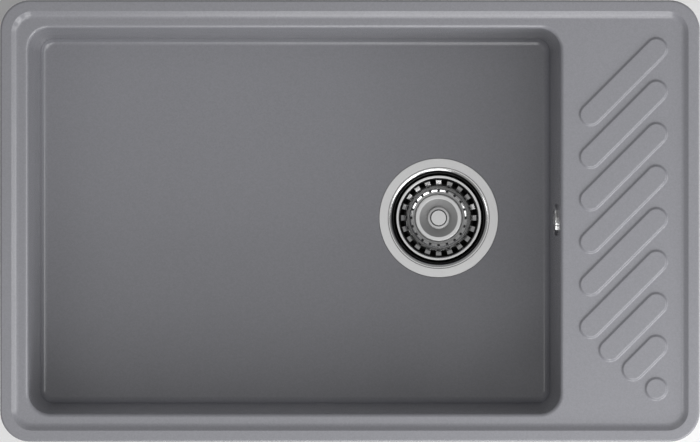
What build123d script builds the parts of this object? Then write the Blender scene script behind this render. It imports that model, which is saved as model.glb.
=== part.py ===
from build123d import *
import os
from math import atan, atan2, cos, degrees, pi, radians, sin, sqrt, tan

# Inset kitchen sink of stone composite: one bowl, a short ribbed drainer, a basket strainer waste,
# an overflow with its hose, and eight clips that hold the sink in a worktop.
# Millimetres, +Z up, +X towards the drainer, +Y towards the back.
# The origin is the middle of the outline, on the plane where the rim lies on the worktop.

# Outline and raised rim
overall_length = 670.0
overall_width = 423.0
outer_corner_radius = 29.0
rim_height = 9.0
rim_land = 10.7
rim_edge_radius = 2.0

# Step from the rim down to the deck
step_drop = 4.5
step_run = 5.2
step_corner_radius = 20.0
step_cove_radius = 7.0

# Deck and the worktop cut-out below it
deck_thickness = 8.0
cutout_inset = 10.0
cutout_clearance = 3.0

# Bowl
bowl_margin = 26.75
drainer_width = 133.2
bowl_corner_radius = 20.5
bowl_depth = 185.0
bowl_draft = 2.5
bowl_mouth_radius = 4.0
bowl_floor_radius = 7.0
bowl_wall = 9.0
bowl_floor_thickness = 10.0
bowl_underside_radius = 14.0

# Raised ribs on the drainer
rib_width = 22.3
rib_height = 2.0
rib_side_angle = 45.0
rib_pitch = 40.72
rib_end_inset = 41.6
rib_bowl_gap = 28.6
rib_front_inset = 50.8
rib_back_inset = 45.0
rib_run_step = 22.2
rib_top_radius = 1.2
rib_foot_radius = 1.5

# Sealing strip under the rim
strip_inset = 3.0
strip_width = 5.0
strip_thickness = 2.0
strip_side_gap = 0.1

# Waste cup and its seat in the bowl floor
waste_right_inset = 115.5
waste_y = 3.0
flange_radius = 57.5
flange_proud = 0.5
flange_side_gap = 0.7
cup_sheet = 1.0
cup_mouth_radius = 43.4
cup_lip_radius = 5.6
cup_neck_depth = 16.0
cup_depth = 42.0
cup_floor_radius = 34.0
cup_bend_radius = 5.0
cup_hole_gap = 0.8
cup_port_radius = 5.5
cup_port_circle = 18.0
cup_port_count = 6
cup_gasket_thickness = 1.0
cup_gasket_width = 7.0

# Waste housing below the bowl
housing_gasket_thickness = 3.0
housing_gap = 1.8
housing_neck_drop = 4.0
housing_seat_width = 9.0
housing_flange_thickness = 5.5
housing_wall = 3.0
chamber_radius = 38.0
chamber_height = 23.0
funnel_height = 9.0
tail_radius = 23.9
tail_wall = 3.5
tail_length = 34.0
spider_boss_radius = 10.5
spider_boss_height = 18.0
spider_web = 3.0
spider_web_height = 9.0
spider_web_count = 3
spider_drop = 16.0

# Bolt through the cup floor into the housing
bolt_radius = 5.0
bolt_head_radius = 9.5
bolt_head_height = 3.0
bolt_socket_radius = 3.4
bolt_tip_wall = 4.0
bolt_insert_radius = 7.5
bolt_insert_height = 14.0
thread_gap = 0.05
bolt_hole_gap = 0.3

# Strainer basket
basket_drop = 7.0
basket_sheet = 0.8
basket_rim_radius = 41.05
basket_mouth_radius = 38.7
basket_wall_foot_radius = 28.2
basket_wall_height = 16.5
basket_gutter_radius = 23.6
basket_gutter_drop = 1.5
plateau_outer_radius = 22.0
plateau_inner_radius = 18.9
plateau_rise = 2.2
dish_radius = 10.8
dish_drop = 3.2
basket_bend_radius = 0.9
basket_foot_bend_radius = 2.2
slot_inner_radius = 30.1
slot_outer_radius = 36.6
slot_count = 20
slot_share = 0.53
slot_corner_radius = 0.7
drop_hole_circle = 26.4
drop_hole_length = 2.9
drop_hole_width = 2.0

# Knob, stem and stopper of the basket
knob_radius = 8.4
knob_height = 6.0
knob_edge_radius = 1.3
knob_neck_radius = 4.6
knob_neck_height = 5.0
stem_radius = 3.9
stem_hole_gap = 0.2
stem_pin_radius = 3.1
stem_pin_reach = 26.0
stem_tip_chamfer = 1.0
knob_washer_radius = 10.1
knob_washer_thickness = 0.8
carrier_hub_radius = 9.6
carrier_radius = 23.0
carrier_thickness = 2.0
seal_inner_radius = 13.0
seal_outer_radius = 24.5
seal_flare = 1.5
seal_height = 7.7
seal_seat_gap = 0.3
stem_nut_width = 13.0
stem_nut_height = 3.6

# Overflow in the bowl's right wall
overflow_drop = 62.0
overflow_y = 1.0
rosette_radius = 15.6
rosette_thickness = 3.0
rosette_edge_radius = 1.4
rosette_hole_radius = 2.1
rosette_hole_circle = 9.0
rosette_hole_count = 8
overflow_hole_radius = 12.5
overflow_screw_radius = 2.0
overflow_screw_head_radius = 4.0
overflow_screw_head_height = 2.0
countersink_angle = 90.0
screw_slot_width = 1.0
screw_slot_depth = 0.8
overflow_gasket_thickness = 2.0
overflow_gasket_width = 7.0
elbow_flange_radius = 22.0
elbow_flange_thickness = 4.0
elbow_chamber_radius = 13.5
elbow_chamber_depth = 28.0
elbow_wall = 3.0
elbow_boss_radius = 4.5
elbow_boss_height = 20.0
elbow_stub_length = 38.0

# Overflow hose and the unions at its ends
hose_cuff_radius = 10.0
hose_crest_radius = 12.0
hose_valley_radius = 9.6
hose_bore_radius = 8.2
hose_rib_pitch = 5.0
hose_rib_rise = 1.0
hose_rib_flat = 1.4
hose_bend_radius = 50.0
hose_socket_gap = 0.3
hose_socket_depth = 14.0
hose_end_gap = 2.0
hose_cuff_length = 32.0
stub_radius = 13.0
union_thread_length = 12.0
union_gap = 0.3
union_wall = 3.4
union_lip = 3.0
union_seal_height = 3.0
union_grip_count = 12
union_grip_radius = 1.3
inlet_length = 24.0
inlet_drop = 13.5

# Worktop clips with their screws, washers and inserts
worktop_thickest = 40.0
clip_travel = 12.0
clip_end_inset = 100.0
clip_side_inset = 125.0
clip_bowl_inset = 85.0
clip_tip_inset = 2.0
clip_width = 16.0
clip_sheet = 1.5
clip_bend_radius = 2.0
clip_screw_drop = 10.0
clip_foot = 5.0
clip_screw_radius = 2.5
clip_slot_gap = 0.3
clip_head_radius = 4.6
clip_head_height = 3.2
clip_head_socket = 1.6
clip_washer_radius = 6.5
clip_washer_thickness = 1.0
clip_insert_radius = 3.6
clip_insert_length = 9.0
insert_bond = 0.05
pad_width = 26.0
pad_height = 26.0
pad_proud = 1.25
pad_embed = 2.5
pad_corner_radius = 2.0
lug_depth = 14.0
web_thickness = 8.0
web_height = 16.0

# Edges this close to a level count as lying on it
level_slack = 0.01

# Heights that follow from the sizes above
deck_z = rim_height - step_drop
deck_under_z = deck_z - deck_thickness
floor_z = deck_z - bowl_depth
under_z = floor_z - bowl_floor_thickness
flange_top_z = floor_z + flange_proud
flange_under_z = flange_top_z - cup_sheet
recess_floor_z = flange_under_z - cup_gasket_thickness
cup_floor_z = flange_top_z - cup_depth
cup_under_z = cup_floor_z - cup_sheet
housing_top_z = under_z - housing_gasket_thickness
funnel_top_z = cup_under_z - chamber_height
tail_top_z = funnel_top_z - funnel_height
tail_end_z = tail_top_z - tail_length
inlet_z = cup_under_z - inlet_drop
spider_top_z = cup_under_z - spider_drop
overflow_z = deck_z - overflow_drop

# Plan positions that follow from the sizes above
half_length = overall_length / 2
half_width = overall_width / 2
bowl_length = overall_length - bowl_margin - drainer_width
bowl_width = overall_width - 2 * bowl_margin
bowl_x = (bowl_margin - drainer_width) / 2
bowl_right_x = half_length - drainer_width
draft_slope = tan(radians(bowl_draft))
waste_x = bowl_right_x - waste_right_inset

# Half sections turned about the upright line through the waste
waste_section = Plane(origin=(waste_x, waste_y, 0), x_dir=(1, 0, 0), z_dir=(0, -1, 0))
waste_axis = Axis((waste_x, waste_y, 0), (0, 0, 1))


def waste_plane(height):
    """Level plane at the given height, centred on the waste."""
    return Plane(origin=(waste_x, waste_y, height))


def ring_on(plane, inner_radius, outer_radius, thickness):
    """Flat ring that stands on a plane and grows along its normal."""
    with BuildPart() as ring:
        with BuildSketch(plane):
            Circle(outer_radius)
            Circle(inner_radius, mode=Mode.SUBTRACT)
        extrude(amount=thickness)
    return ring


def edges_at(piece, height):
    """Edges of a piece whose middle lies at the given height."""
    return piece.edges().filter_by_position(Axis.Z, height - level_slack, height + level_slack)


# Recess inside the rim, built base up: its side slopes to the deck and ends in a cove
with BuildPart() as deck_recess:
    with BuildSketch():
        RectangleRounded(overall_length - 2 * rim_land, overall_width - 2 * rim_land, step_corner_radius)
    extrude(amount=step_drop, taper=degrees(atan(step_run / step_drop)))
    fillet(deck_recess.edges().group_by(Axis.Z)[-1], step_cove_radius)

# Inside of the bowl, built base up from the rim's level
mouth_growth = step_drop * draft_slope
with BuildPart() as bowl_hollow:
    with BuildSketch(Plane((bowl_x, 0, 0))):
        RectangleRounded(
            bowl_length + 2 * mouth_growth,
            bowl_width + 2 * mouth_growth,
            bowl_corner_radius + mouth_growth,
        )
    extrude(amount=step_drop + bowl_depth, taper=bowl_draft)
    fillet(bowl_hollow.edges().group_by(Axis.Z)[-1], bowl_floor_radius)

# Outside of the bowl, built base up from the deck's level
with BuildPart() as bowl_shell:
    with BuildSketch(Plane((bowl_x, 0, 0))):
        RectangleRounded(
            bowl_length + 2 * bowl_wall,
            bowl_width + 2 * bowl_wall,
            bowl_corner_radius + bowl_wall,
        )
    extrude(amount=bowl_depth + bowl_floor_thickness, taper=bowl_draft)
    fillet(bowl_shell.edges().group_by(Axis.Z)[-1], bowl_underside_radius)

# Diagonal ribs of the drainer, from the front stud to the full ribs at the back
rib_full_run = drainer_width - rib_end_inset - rib_bowl_gap
rib_count = 1 + int((overall_width - rib_front_inset - rib_back_inset) / rib_pitch)
rib_end_x = half_length - rib_end_inset
rib_left_x = rib_end_x - rib_full_run
rib_front_y = rib_front_inset - half_width
rib_back_y = rib_front_y + (rib_count - 1) * rib_pitch
with BuildPart() as drainer_ribs:
    for rib in range(rib_count):
        run = min(rib * rib_run_step, rib_full_run)
        end_y = rib_front_y + rib * rib_pitch
        middle = (rib_end_x - run / 2, end_y - run / 2, deck_z)
        with BuildSketch(Plane(origin=middle, x_dir=(1, 1, 0), z_dir=(0, 0, 1))):
            if run > 0:
                SlotCenterToCenter(run * sqrt(2), rib_width)
            else:
                Circle(rib_width / 2)
        extrude(amount=rib_height, taper=rib_side_angle)
    fillet(drainer_ribs.edges().group_by(Axis.Z)[-1], rib_top_radius)

# Clip places: a plane on each pad face, with x along the side, y up and z outwards
clip_face_inset = bowl_margin - bowl_wall - pad_proud
clip_end_y = half_width - clip_end_inset
clip_side_x = (clip_side_inset - half_length, bowl_right_x - clip_bowl_inset)
end_face_x = half_length - clip_face_inset
side_face_y = half_width - clip_face_inset
clip_planes = {
    "clip_left_front": Plane((-end_face_x, -clip_end_y, 0), x_dir=(0, -1, 0), z_dir=(-1, 0, 0)),
    "clip_left_back": Plane((-end_face_x, clip_end_y, 0), x_dir=(0, -1, 0), z_dir=(-1, 0, 0)),
    "clip_right_front": Plane((end_face_x, -clip_end_y, 0), x_dir=(0, 1, 0), z_dir=(1, 0, 0)),
    "clip_right_back": Plane((end_face_x, clip_end_y, 0), x_dir=(0, 1, 0), z_dir=(1, 0, 0)),
    "clip_front_left": Plane((clip_side_x[0], -side_face_y, 0), x_dir=(1, 0, 0), z_dir=(0, -1, 0)),
    "clip_front_right": Plane((clip_side_x[1], -side_face_y, 0), x_dir=(1, 0, 0), z_dir=(0, -1, 0)),
    "clip_back_left": Plane((clip_side_x[0], side_face_y, 0), x_dir=(-1, 0, 0), z_dir=(0, 1, 0)),
    "clip_back_right": Plane((clip_side_x[1], side_face_y, 0), x_dir=(-1, 0, 0), z_dir=(0, 1, 0)),
}
lug_planes = [clip_planes["clip_right_front"], clip_planes["clip_right_back"]]
clip_screw_z = -worktop_thickest - clip_screw_drop
pad_foot_z = clip_screw_z - pad_height / 2
pad_depth = pad_proud + (deck_z - pad_foot_z) * draft_slope + pad_embed

# Overflow plane on the inside of the right wall, with y up the wall and z into the bowl
overflow_x = bowl_right_x - overflow_drop * draft_slope
wall_normal = (-cos(radians(bowl_draft)), 0, sin(radians(bowl_draft)))
overflow_plane = Plane(origin=(overflow_x, overflow_y, overflow_z), x_dir=(0, -1, 0), z_dir=wall_normal)
wall_back = -bowl_wall * cos(radians(bowl_draft))

# The basin: rim, deck, bowl, clip pads, lugs and webs in one casting
recess_radius = flange_radius + flange_side_gap
waste_hole_radius = cup_mouth_radius + cup_sheet + cup_hole_gap
waste_hole_round = cup_lip_radius - cup_sheet - cup_gasket_thickness
slab_inset = cutout_inset + cutout_clearance
with BuildPart() as sink_basin:
    with BuildSketch():
        RectangleRounded(overall_length, overall_width, outer_corner_radius)
    extrude(amount=rim_height)
    fillet(sink_basin.edges().group_by(Axis.Z)[-1], rim_edge_radius)
    with BuildSketch(Plane.XY.offset(deck_under_z)):
        RectangleRounded(
            overall_length - 2 * slab_inset,
            overall_width - 2 * slab_inset,
            outer_corner_radius - slab_inset,
        )
    extrude(amount=deck_thickness)
    with Locations((0, 0, deck_z)):
        add(bowl_shell.part, rotation=(180, 0, 0))
    for plane in clip_planes.values():
        with BuildSketch(plane):
            with Locations((0, clip_screw_z)):
                RectangleRounded(pad_width, pad_height, pad_corner_radius)
        extrude(amount=-pad_depth)
    for plane in lug_planes:
        lug_height = deck_under_z - pad_foot_z
        with BuildSketch(plane):
            with Locations((0, deck_under_z - lug_height / 2)):
                Rectangle(pad_width, lug_height)
        extrude(amount=-lug_depth)
        web_length = drainer_width - clip_face_inset - bowl_wall / 2
        with BuildSketch(plane):
            with Locations((0, deck_under_z - web_height / 2)):
                Rectangle(web_thickness, web_height)
        extrude(amount=-web_length)
    with Locations((0, 0, rim_height)):
        add(deck_recess.part, rotation=(180, 0, 0), mode=Mode.SUBTRACT)
        add(bowl_hollow.part, rotation=(180, 0, 0), mode=Mode.SUBTRACT)
    mouth_reach_x = bowl_length / 2 + level_slack
    mouth_reach_y = bowl_width / 2 + level_slack
    mouth_edges = edges_at(sink_basin, deck_z)
    mouth_edges = mouth_edges.filter_by_position(Axis.X, bowl_x - mouth_reach_x, bowl_x + mouth_reach_x)
    mouth_edges = mouth_edges.filter_by_position(Axis.Y, -mouth_reach_y, mouth_reach_y)
    fillet(mouth_edges, bowl_mouth_radius)
    add(drainer_ribs.part)
    foot_edges = edges_at(sink_basin, deck_z)
    foot_edges = foot_edges.filter_by_position(Axis.X, rib_left_x - rib_width, rib_end_x + rib_width / 2)
    foot_edges = foot_edges.filter_by_position(Axis.Y, rib_front_y - rib_width / 2, rib_back_y + rib_width / 2)
    fillet(foot_edges, rib_foot_radius)
    with BuildSketch(waste_plane(floor_z)):
        Circle(recess_radius)
    extrude(amount=recess_floor_z - floor_z, mode=Mode.SUBTRACT)
    with BuildSketch(waste_plane(recess_floor_z)):
        Circle(waste_hole_radius)
    extrude(amount=under_z - recess_floor_z, mode=Mode.SUBTRACT)
    hole_edges = edges_at(sink_basin, recess_floor_z).filter_by(GeomType.CIRCLE)
    fillet(hole_edges.sort_by(SortBy.RADIUS)[0], waste_hole_round)
    with BuildSketch(overflow_plane):
        Circle(overflow_hole_radius)
    extrude(amount=2 * wall_back, mode=Mode.SUBTRACT)
    for plane in clip_planes.values():
        with BuildSketch(plane):
            with Locations((0, clip_screw_z)):
                Circle(clip_insert_radius + insert_bond)
        extrude(amount=-clip_insert_length, mode=Mode.SUBTRACT)
    with BuildSketch():
        RectangleRounded(
            overall_length - 2 * strip_inset,
            overall_width - 2 * strip_inset,
            outer_corner_radius - strip_inset,
        )
        offset(amount=-strip_width, mode=Mode.SUBTRACT)
    extrude(amount=strip_thickness, mode=Mode.SUBTRACT)

# Foam strip in the groove under the rim
strip_outer_inset = strip_inset + strip_side_gap
with BuildPart() as rim_sealing_strip:
    with BuildSketch():
        RectangleRounded(
            overall_length - 2 * strip_outer_inset,
            overall_width - 2 * strip_outer_inset,
            outer_corner_radius - strip_outer_inset,
        )
        offset(amount=-(strip_width - 2 * strip_side_gap), mode=Mode.SUBTRACT)
    extrude(amount=strip_thickness)

# Waste cup pressed from sheet: flange, rounded lip, upright neck, cone and perforated floor
with BuildPart() as waste_cup:
    with BuildSketch(waste_section):
        with BuildLine():
            FilletPolyline(
                (flange_radius, flange_top_z),
                (cup_mouth_radius, flange_top_z),
                (cup_mouth_radius, flange_top_z - cup_neck_depth),
                (cup_floor_radius, cup_floor_z),
                (0, cup_floor_z),
                radius=(cup_lip_radius, cup_bend_radius, cup_bend_radius),
            )
            offset(amount=cup_sheet, side=Side.LEFT)
        make_face()
    revolve(axis=waste_axis)
    with BuildSketch(waste_plane(cup_floor_z)):
        Circle(bolt_radius + bolt_hole_gap)
        with PolarLocations(cup_port_circle, cup_port_count):
            Circle(cup_port_radius)
    extrude(amount=-cup_sheet, mode=Mode.SUBTRACT)

cup_gasket = ring_on(
    waste_plane(recess_floor_z), flange_radius - cup_gasket_width, flange_radius, cup_gasket_thickness
)

# Waste housing: seat under the bowl, chamber, funnel and tail, with the overflow inlet at its side
seat_inner_radius = cup_mouth_radius + cup_sheet + housing_gap
seat_outer_radius = seat_inner_radius + housing_seat_width
housing_neck_z = flange_top_z - cup_neck_depth - housing_neck_drop
housing_gasket = ring_on(
    waste_plane(housing_top_z), seat_inner_radius, seat_outer_radius, housing_gasket_thickness
)
tail_bore_radius = tail_radius - tail_wall
elbow_axis_depth = elbow_flange_thickness + elbow_chamber_depth / 2 + overflow_gasket_thickness - wall_back
stub_x = overflow_x + elbow_axis_depth * cos(radians(bowl_draft))
hose_bearing = atan2(overflow_y - waste_y, stub_x - waste_x)
bearing_dir = Vector(cos(hose_bearing), sin(hose_bearing), 0)
hose_side = Vector(-sin(hose_bearing), cos(hose_bearing), 0)
inlet_start = Vector(waste_x, waste_y, inlet_z) + bearing_dir * chamber_radius
inlet_mouth = inlet_start + bearing_dir * inlet_length
socket_radius = hose_cuff_radius + hose_socket_gap
inlet_plane = Plane(origin=inlet_mouth, x_dir=hose_side, z_dir=bearing_dir)
with BuildPart() as waste_housing:
    with BuildSketch(waste_section):
        with BuildLine():
            Polyline(
                (seat_inner_radius, housing_top_z),
                (seat_outer_radius, housing_top_z),
                (seat_outer_radius, housing_top_z - housing_flange_thickness),
                (seat_inner_radius + housing_wall, housing_neck_z),
                (chamber_radius + housing_wall, cup_floor_z + housing_wall),
                (chamber_radius + housing_wall, funnel_top_z - housing_wall / 2),
                (tail_radius + housing_wall, tail_top_z - housing_wall / 2),
                (tail_radius, tail_top_z - housing_wall / 2),
                (tail_radius, tail_end_z),
                (tail_bore_radius, tail_end_z),
                (tail_bore_radius, tail_top_z),
                (chamber_radius, funnel_top_z),
                (chamber_radius, cup_floor_z + housing_wall),
                (seat_inner_radius, housing_neck_z),
                close=True,
            )
        make_face()
    revolve(axis=waste_axis)
    with BuildSketch(inlet_plane):
        Circle(stub_radius)
    extrude(amount=-(inlet_length - housing_wall / 2))
    with BuildSketch(inlet_plane):
        Circle(socket_radius)
    extrude(amount=-hose_socket_depth, mode=Mode.SUBTRACT)
    with BuildSketch(inlet_plane):
        Circle(hose_bore_radius)
    extrude(amount=-(inlet_length + housing_wall), mode=Mode.SUBTRACT)
    with BuildSketch(waste_plane(spider_top_z)):
        Circle(spider_boss_radius)
    extrude(amount=-spider_boss_height)
    with BuildSketch(waste_plane(spider_top_z)):
        with PolarLocations(chamber_radius / 2, spider_web_count, start_angle=180):
            Rectangle(chamber_radius + housing_wall, spider_web)
    extrude(amount=-spider_web_height)
    insert_z = spider_top_z - (spider_boss_height - bolt_insert_height) / 2
    with BuildSketch(waste_plane(spider_top_z)):
        Circle(bolt_radius + bolt_hole_gap)
    extrude(amount=-spider_boss_height, mode=Mode.SUBTRACT)
    with BuildSketch(waste_plane(insert_z)):
        Circle(bolt_insert_radius + insert_bond)
    extrude(amount=-bolt_insert_height, mode=Mode.SUBTRACT)

bolt_insert = ring_on(
    waste_plane(insert_z - bolt_insert_height),
    bolt_radius + thread_gap,
    bolt_insert_radius,
    bolt_insert_height,
)

# Hollow bolt: its head lies on the cup floor, its socket guides the basket's stem
bolt_tip_z = spider_top_z - spider_boss_height
with BuildPart() as waste_bolt:
    with BuildSketch(waste_plane(cup_floor_z)):
        RegularPolygon(bolt_head_radius, 6, major_radius=True)
    extrude(amount=bolt_head_height)
    with BuildSketch(waste_plane(cup_floor_z)):
        Circle(bolt_radius)
    extrude(amount=bolt_tip_z - cup_floor_z)
    with BuildSketch(waste_plane(cup_floor_z + bolt_head_height)):
        Circle(bolt_socket_radius)
    extrude(amount=bolt_tip_z + bolt_tip_wall - cup_floor_z - bolt_head_height, mode=Mode.SUBTRACT)

# Strainer basket pressed from sheet, with slots in its side and small holes in its gutter
basket_top_z = flange_top_z - basket_drop
wall_foot_z = basket_top_z - basket_wall_height
gutter_z = wall_foot_z - basket_gutter_drop
plateau_z = gutter_z + plateau_rise
dish_z = plateau_z - dish_drop
stem_hole_radius = stem_radius + stem_hole_gap
basket_bends = [basket_bend_radius, basket_foot_bend_radius] + 4 * [basket_bend_radius]
with BuildPart() as strainer_basket:
    with BuildSketch(waste_section):
        with BuildLine():
            FilletPolyline(
                (basket_rim_radius, basket_top_z),
                (basket_mouth_radius, basket_top_z),
                (basket_wall_foot_radius, wall_foot_z),
                (basket_gutter_radius, gutter_z),
                (plateau_outer_radius, plateau_z),
                (plateau_inner_radius, plateau_z),
                (dish_radius, dish_z),
                (stem_hole_radius, dish_z),
                radius=basket_bends,
            )
            offset(amount=basket_sheet, side=Side.LEFT)
        make_face()
    revolve(axis=waste_axis)
    slot_half_angle = pi / slot_count * slot_share
    slot_middle_angle = 180 / slot_count
    slot_corners = [
        (radius * cos(angle), radius * sin(angle))
        for radius, angle in (
            (slot_inner_radius, -slot_half_angle),
            (slot_outer_radius, -slot_half_angle),
            (slot_outer_radius, slot_half_angle),
            (slot_inner_radius, slot_half_angle),
        )
    ]
    with BuildSketch(waste_plane(dish_z - basket_sheet)):
        with PolarLocations(0, slot_count, start_angle=slot_middle_angle):
            Polygon(*slot_corners, align=None)
        fillet(vertices(), slot_corner_radius)
        with PolarLocations(drop_hole_circle, slot_count):
            SlotOverall(drop_hole_length, drop_hole_width, rotation=90)
    extrude(amount=basket_top_z - dish_z, mode=Mode.SUBTRACT)

knob_washer = ring_on(waste_plane(dish_z), stem_hole_radius, knob_washer_radius, knob_washer_thickness)

# Knob and stem, turned in one piece
carrier_top_z = dish_z - basket_sheet
seal_under_z = cup_floor_z + seal_seat_gap
carrier_under_z = seal_under_z + seal_height
knob_under_z = dish_z + knob_neck_height
stem_end_z = carrier_under_z - stem_nut_height
with BuildPart() as basket_knob:
    with BuildSketch(waste_plane(knob_under_z)):
        Circle(knob_radius)
    extrude(amount=knob_height)
    fillet(basket_knob.edges().group_by(Axis.Z)[-1], knob_edge_radius)
    with BuildSketch(waste_plane(dish_z + knob_washer_thickness)):
        Circle(knob_neck_radius)
    extrude(amount=knob_neck_height - knob_washer_thickness)
    with BuildSketch(waste_plane(dish_z + knob_washer_thickness)):
        Circle(stem_radius)
    extrude(amount=stem_end_z - dish_z - knob_washer_thickness)
    with BuildSketch(waste_plane(stem_end_z)):
        Circle(stem_pin_radius)
    extrude(amount=-stem_pin_reach)
    chamfer(basket_knob.edges().group_by(Axis.Z)[0], stem_tip_chamfer)

# Plastic carrier under the basket
with BuildPart() as stopper_carrier:
    with BuildSketch(waste_plane(carrier_top_z)):
        Circle(carrier_hub_radius)
        Circle(stem_hole_radius, mode=Mode.SUBTRACT)
    extrude(amount=carrier_under_z - carrier_top_z)
    with BuildSketch(waste_plane(carrier_under_z)):
        Circle(carrier_radius)
        Circle(stem_hole_radius, mode=Mode.SUBTRACT)
    extrude(amount=carrier_thickness)

# Rubber ring on the carrier, just above the cup floor
with BuildPart() as stopper_seal:
    with BuildSketch(waste_section):
        with BuildLine():
            Polyline(
                (seal_inner_radius, carrier_under_z),
                (seal_outer_radius - seal_flare, carrier_under_z),
                (seal_outer_radius, seal_under_z),
                (seal_inner_radius + seal_flare, seal_under_z),
                close=True,
            )
        make_face()
    revolve(axis=waste_axis)

# Hexagon nut that holds basket and carrier on the stem
with BuildPart() as stem_nut:
    with BuildSketch(waste_plane(carrier_under_z)):
        RegularPolygon(stem_nut_width / 2, 6, major_radius=False)
        Circle(stem_radius + thread_gap, mode=Mode.SUBTRACT)
    extrude(amount=-stem_nut_height)

# Overflow plate on the bowl wall, with a ring of holes and a sunk middle
with BuildPart() as overflow_rosette:
    with BuildSketch(overflow_plane):
        Circle(rosette_radius)
    extrude(amount=rosette_thickness)
    rosette_front = overflow_rosette.faces().sort_by(Axis(overflow_plane.origin, wall_normal))[-1]
    fillet(rosette_front.edges(), rosette_edge_radius)
    with BuildSketch(overflow_plane):
        with PolarLocations(rosette_hole_circle, rosette_hole_count):
            Circle(rosette_hole_radius)
    extrude(amount=rosette_thickness, mode=Mode.SUBTRACT)
    with Locations(overflow_plane.offset(rosette_thickness)):
        CounterSinkHole(
            overflow_screw_radius + bolt_hole_gap,
            overflow_screw_head_radius + bolt_hole_gap,
            depth=rosette_thickness,
            counter_sink_angle=countersink_angle,
        )

overflow_gasket = ring_on(
    overflow_plane.offset(wall_back - overflow_gasket_thickness),
    overflow_hole_radius,
    overflow_hole_radius + overflow_gasket_width,
    overflow_gasket_thickness,
)

# Overflow elbow behind the wall: flange, closed chamber, screw boss and a stub that points down
elbow_front = wall_back - overflow_gasket_thickness
elbow_back = elbow_front - elbow_flange_thickness - elbow_chamber_depth
elbow_mouth = Vector(stub_x, overflow_y, overflow_z - elbow_stub_length)
stub_plane = Plane(origin=elbow_mouth, x_dir=hose_side, z_dir=(0, 0, -1))
with BuildPart() as overflow_elbow:
    with BuildSketch(overflow_plane.offset(elbow_front)):
        Circle(elbow_flange_radius)
    extrude(amount=-elbow_flange_thickness)
    with BuildSketch(overflow_plane.offset(elbow_front)):
        Circle(elbow_chamber_radius + elbow_wall)
    extrude(amount=elbow_back - elbow_front)
    with BuildSketch(stub_plane):
        Circle(stub_radius)
    extrude(amount=-elbow_stub_length)
    with BuildSketch(overflow_plane.offset(elbow_front)):
        Circle(elbow_chamber_radius)
    extrude(amount=elbow_back + elbow_wall - elbow_front, mode=Mode.SUBTRACT)
    with BuildSketch(stub_plane):
        Circle(hose_bore_radius)
    extrude(amount=-elbow_stub_length, mode=Mode.SUBTRACT)
    with BuildSketch(stub_plane):
        Circle(socket_radius)
    extrude(amount=-hose_socket_depth, mode=Mode.SUBTRACT)
    with BuildSketch(overflow_plane.offset(elbow_back)):
        Circle(elbow_boss_radius)
    extrude(amount=elbow_boss_height)
    with BuildSketch(overflow_plane.offset(elbow_back + elbow_wall)):
        Circle(overflow_screw_radius + thread_gap)
    extrude(amount=elbow_boss_height, mode=Mode.SUBTRACT)

# Screw from the plate into the elbow's boss
with BuildPart() as overflow_screw:
    with BuildSketch(overflow_plane.offset(rosette_thickness)):
        Circle(overflow_screw_head_radius)
    extrude(amount=-overflow_screw_head_height, taper=countersink_angle / 2)
    with BuildSketch(overflow_plane.offset(rosette_thickness - overflow_screw_head_height)):
        Circle(overflow_screw_radius)
    extrude(amount=elbow_back + 2 * elbow_wall - rosette_thickness + overflow_screw_head_height)
    with BuildSketch(overflow_plane.offset(rosette_thickness)):
        Rectangle(2 * overflow_screw_head_radius, screw_slot_width)
    extrude(amount=-screw_slot_depth, mode=Mode.SUBTRACT)

# Route of the hose: down from the elbow, a quarter bend, then level into the housing
hose_top = elbow_mouth + Vector(0, 0, hose_socket_depth - hose_end_gap)
hose_end = inlet_mouth - bearing_dir * (hose_socket_depth - hose_end_gap)
bend_start = Vector(stub_x, overflow_y, inlet_z + hose_bend_radius)
bend_end = Vector(stub_x, overflow_y, inlet_z) - bearing_dir * hose_bend_radius
bend_centre = bend_end + Vector(0, 0, hose_bend_radius)
down_length = hose_top.Z - bend_start.Z
bend_length = pi / 2 * hose_bend_radius
level_length = (bend_end - hose_end).length
hose_length = down_length + bend_length + level_length


def hose_plane(distance):
    """Plane square to the hose at a distance along it from its upper end."""
    if distance <= down_length:
        place = hose_top - Vector(0, 0, distance)
        ahead = Vector(0, 0, -1)
    elif distance < down_length + bend_length:
        turn = (distance - down_length) / hose_bend_radius
        outwards = bearing_dir * cos(turn) - Vector(0, 0, sin(turn))
        place = bend_centre + outwards * hose_bend_radius
        ahead = bearing_dir * -sin(turn) - Vector(0, 0, cos(turn))
    else:
        place = bend_end - bearing_dir * (distance - down_length - bend_length)
        ahead = bearing_dir * -1
    return Plane(origin=place, x_dir=hose_side, z_dir=ahead)


# Ribbed hose: plain cuffs at its ends, four circles to each rib, one bore
hose_rib_count = int((hose_length - 2 * hose_cuff_length) / hose_rib_pitch)
first_rib = (hose_length - hose_rib_count * hose_rib_pitch) / 2
rib_valley = hose_rib_pitch - 2 * hose_rib_rise - hose_rib_flat
hose_rings = [(0.0, hose_cuff_radius), (first_rib - hose_rib_rise, hose_cuff_radius)]
for rib in range(hose_rib_count):
    start = first_rib + rib * hose_rib_pitch + rib_valley / 2
    hose_rings += [
        (start, hose_valley_radius),
        (start + hose_rib_rise, hose_crest_radius),
        (start + hose_rib_rise + hose_rib_flat, hose_crest_radius),
        (start + 2 * hose_rib_rise + hose_rib_flat, hose_valley_radius),
    ]
hose_rings += [(hose_length - first_rib + hose_rib_rise, hose_cuff_radius), (hose_length, hose_cuff_radius)]
with BuildPart() as overflow_hose:
    for distance, radius in hose_rings:
        with BuildSketch(hose_plane(distance)):
            Circle(radius)
    loft(ruled=True)
    with BuildLine() as hose_route:
        Line(hose_top, bend_start)
        TangentArc(bend_start, bend_end, tangent=(0, 0, -1))
        Line(bend_end, hose_end)
    with BuildSketch(hose_plane(0)):
        Circle(hose_bore_radius)
    sweep(path=hose_route.wire(), mode=Mode.SUBTRACT)


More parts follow.
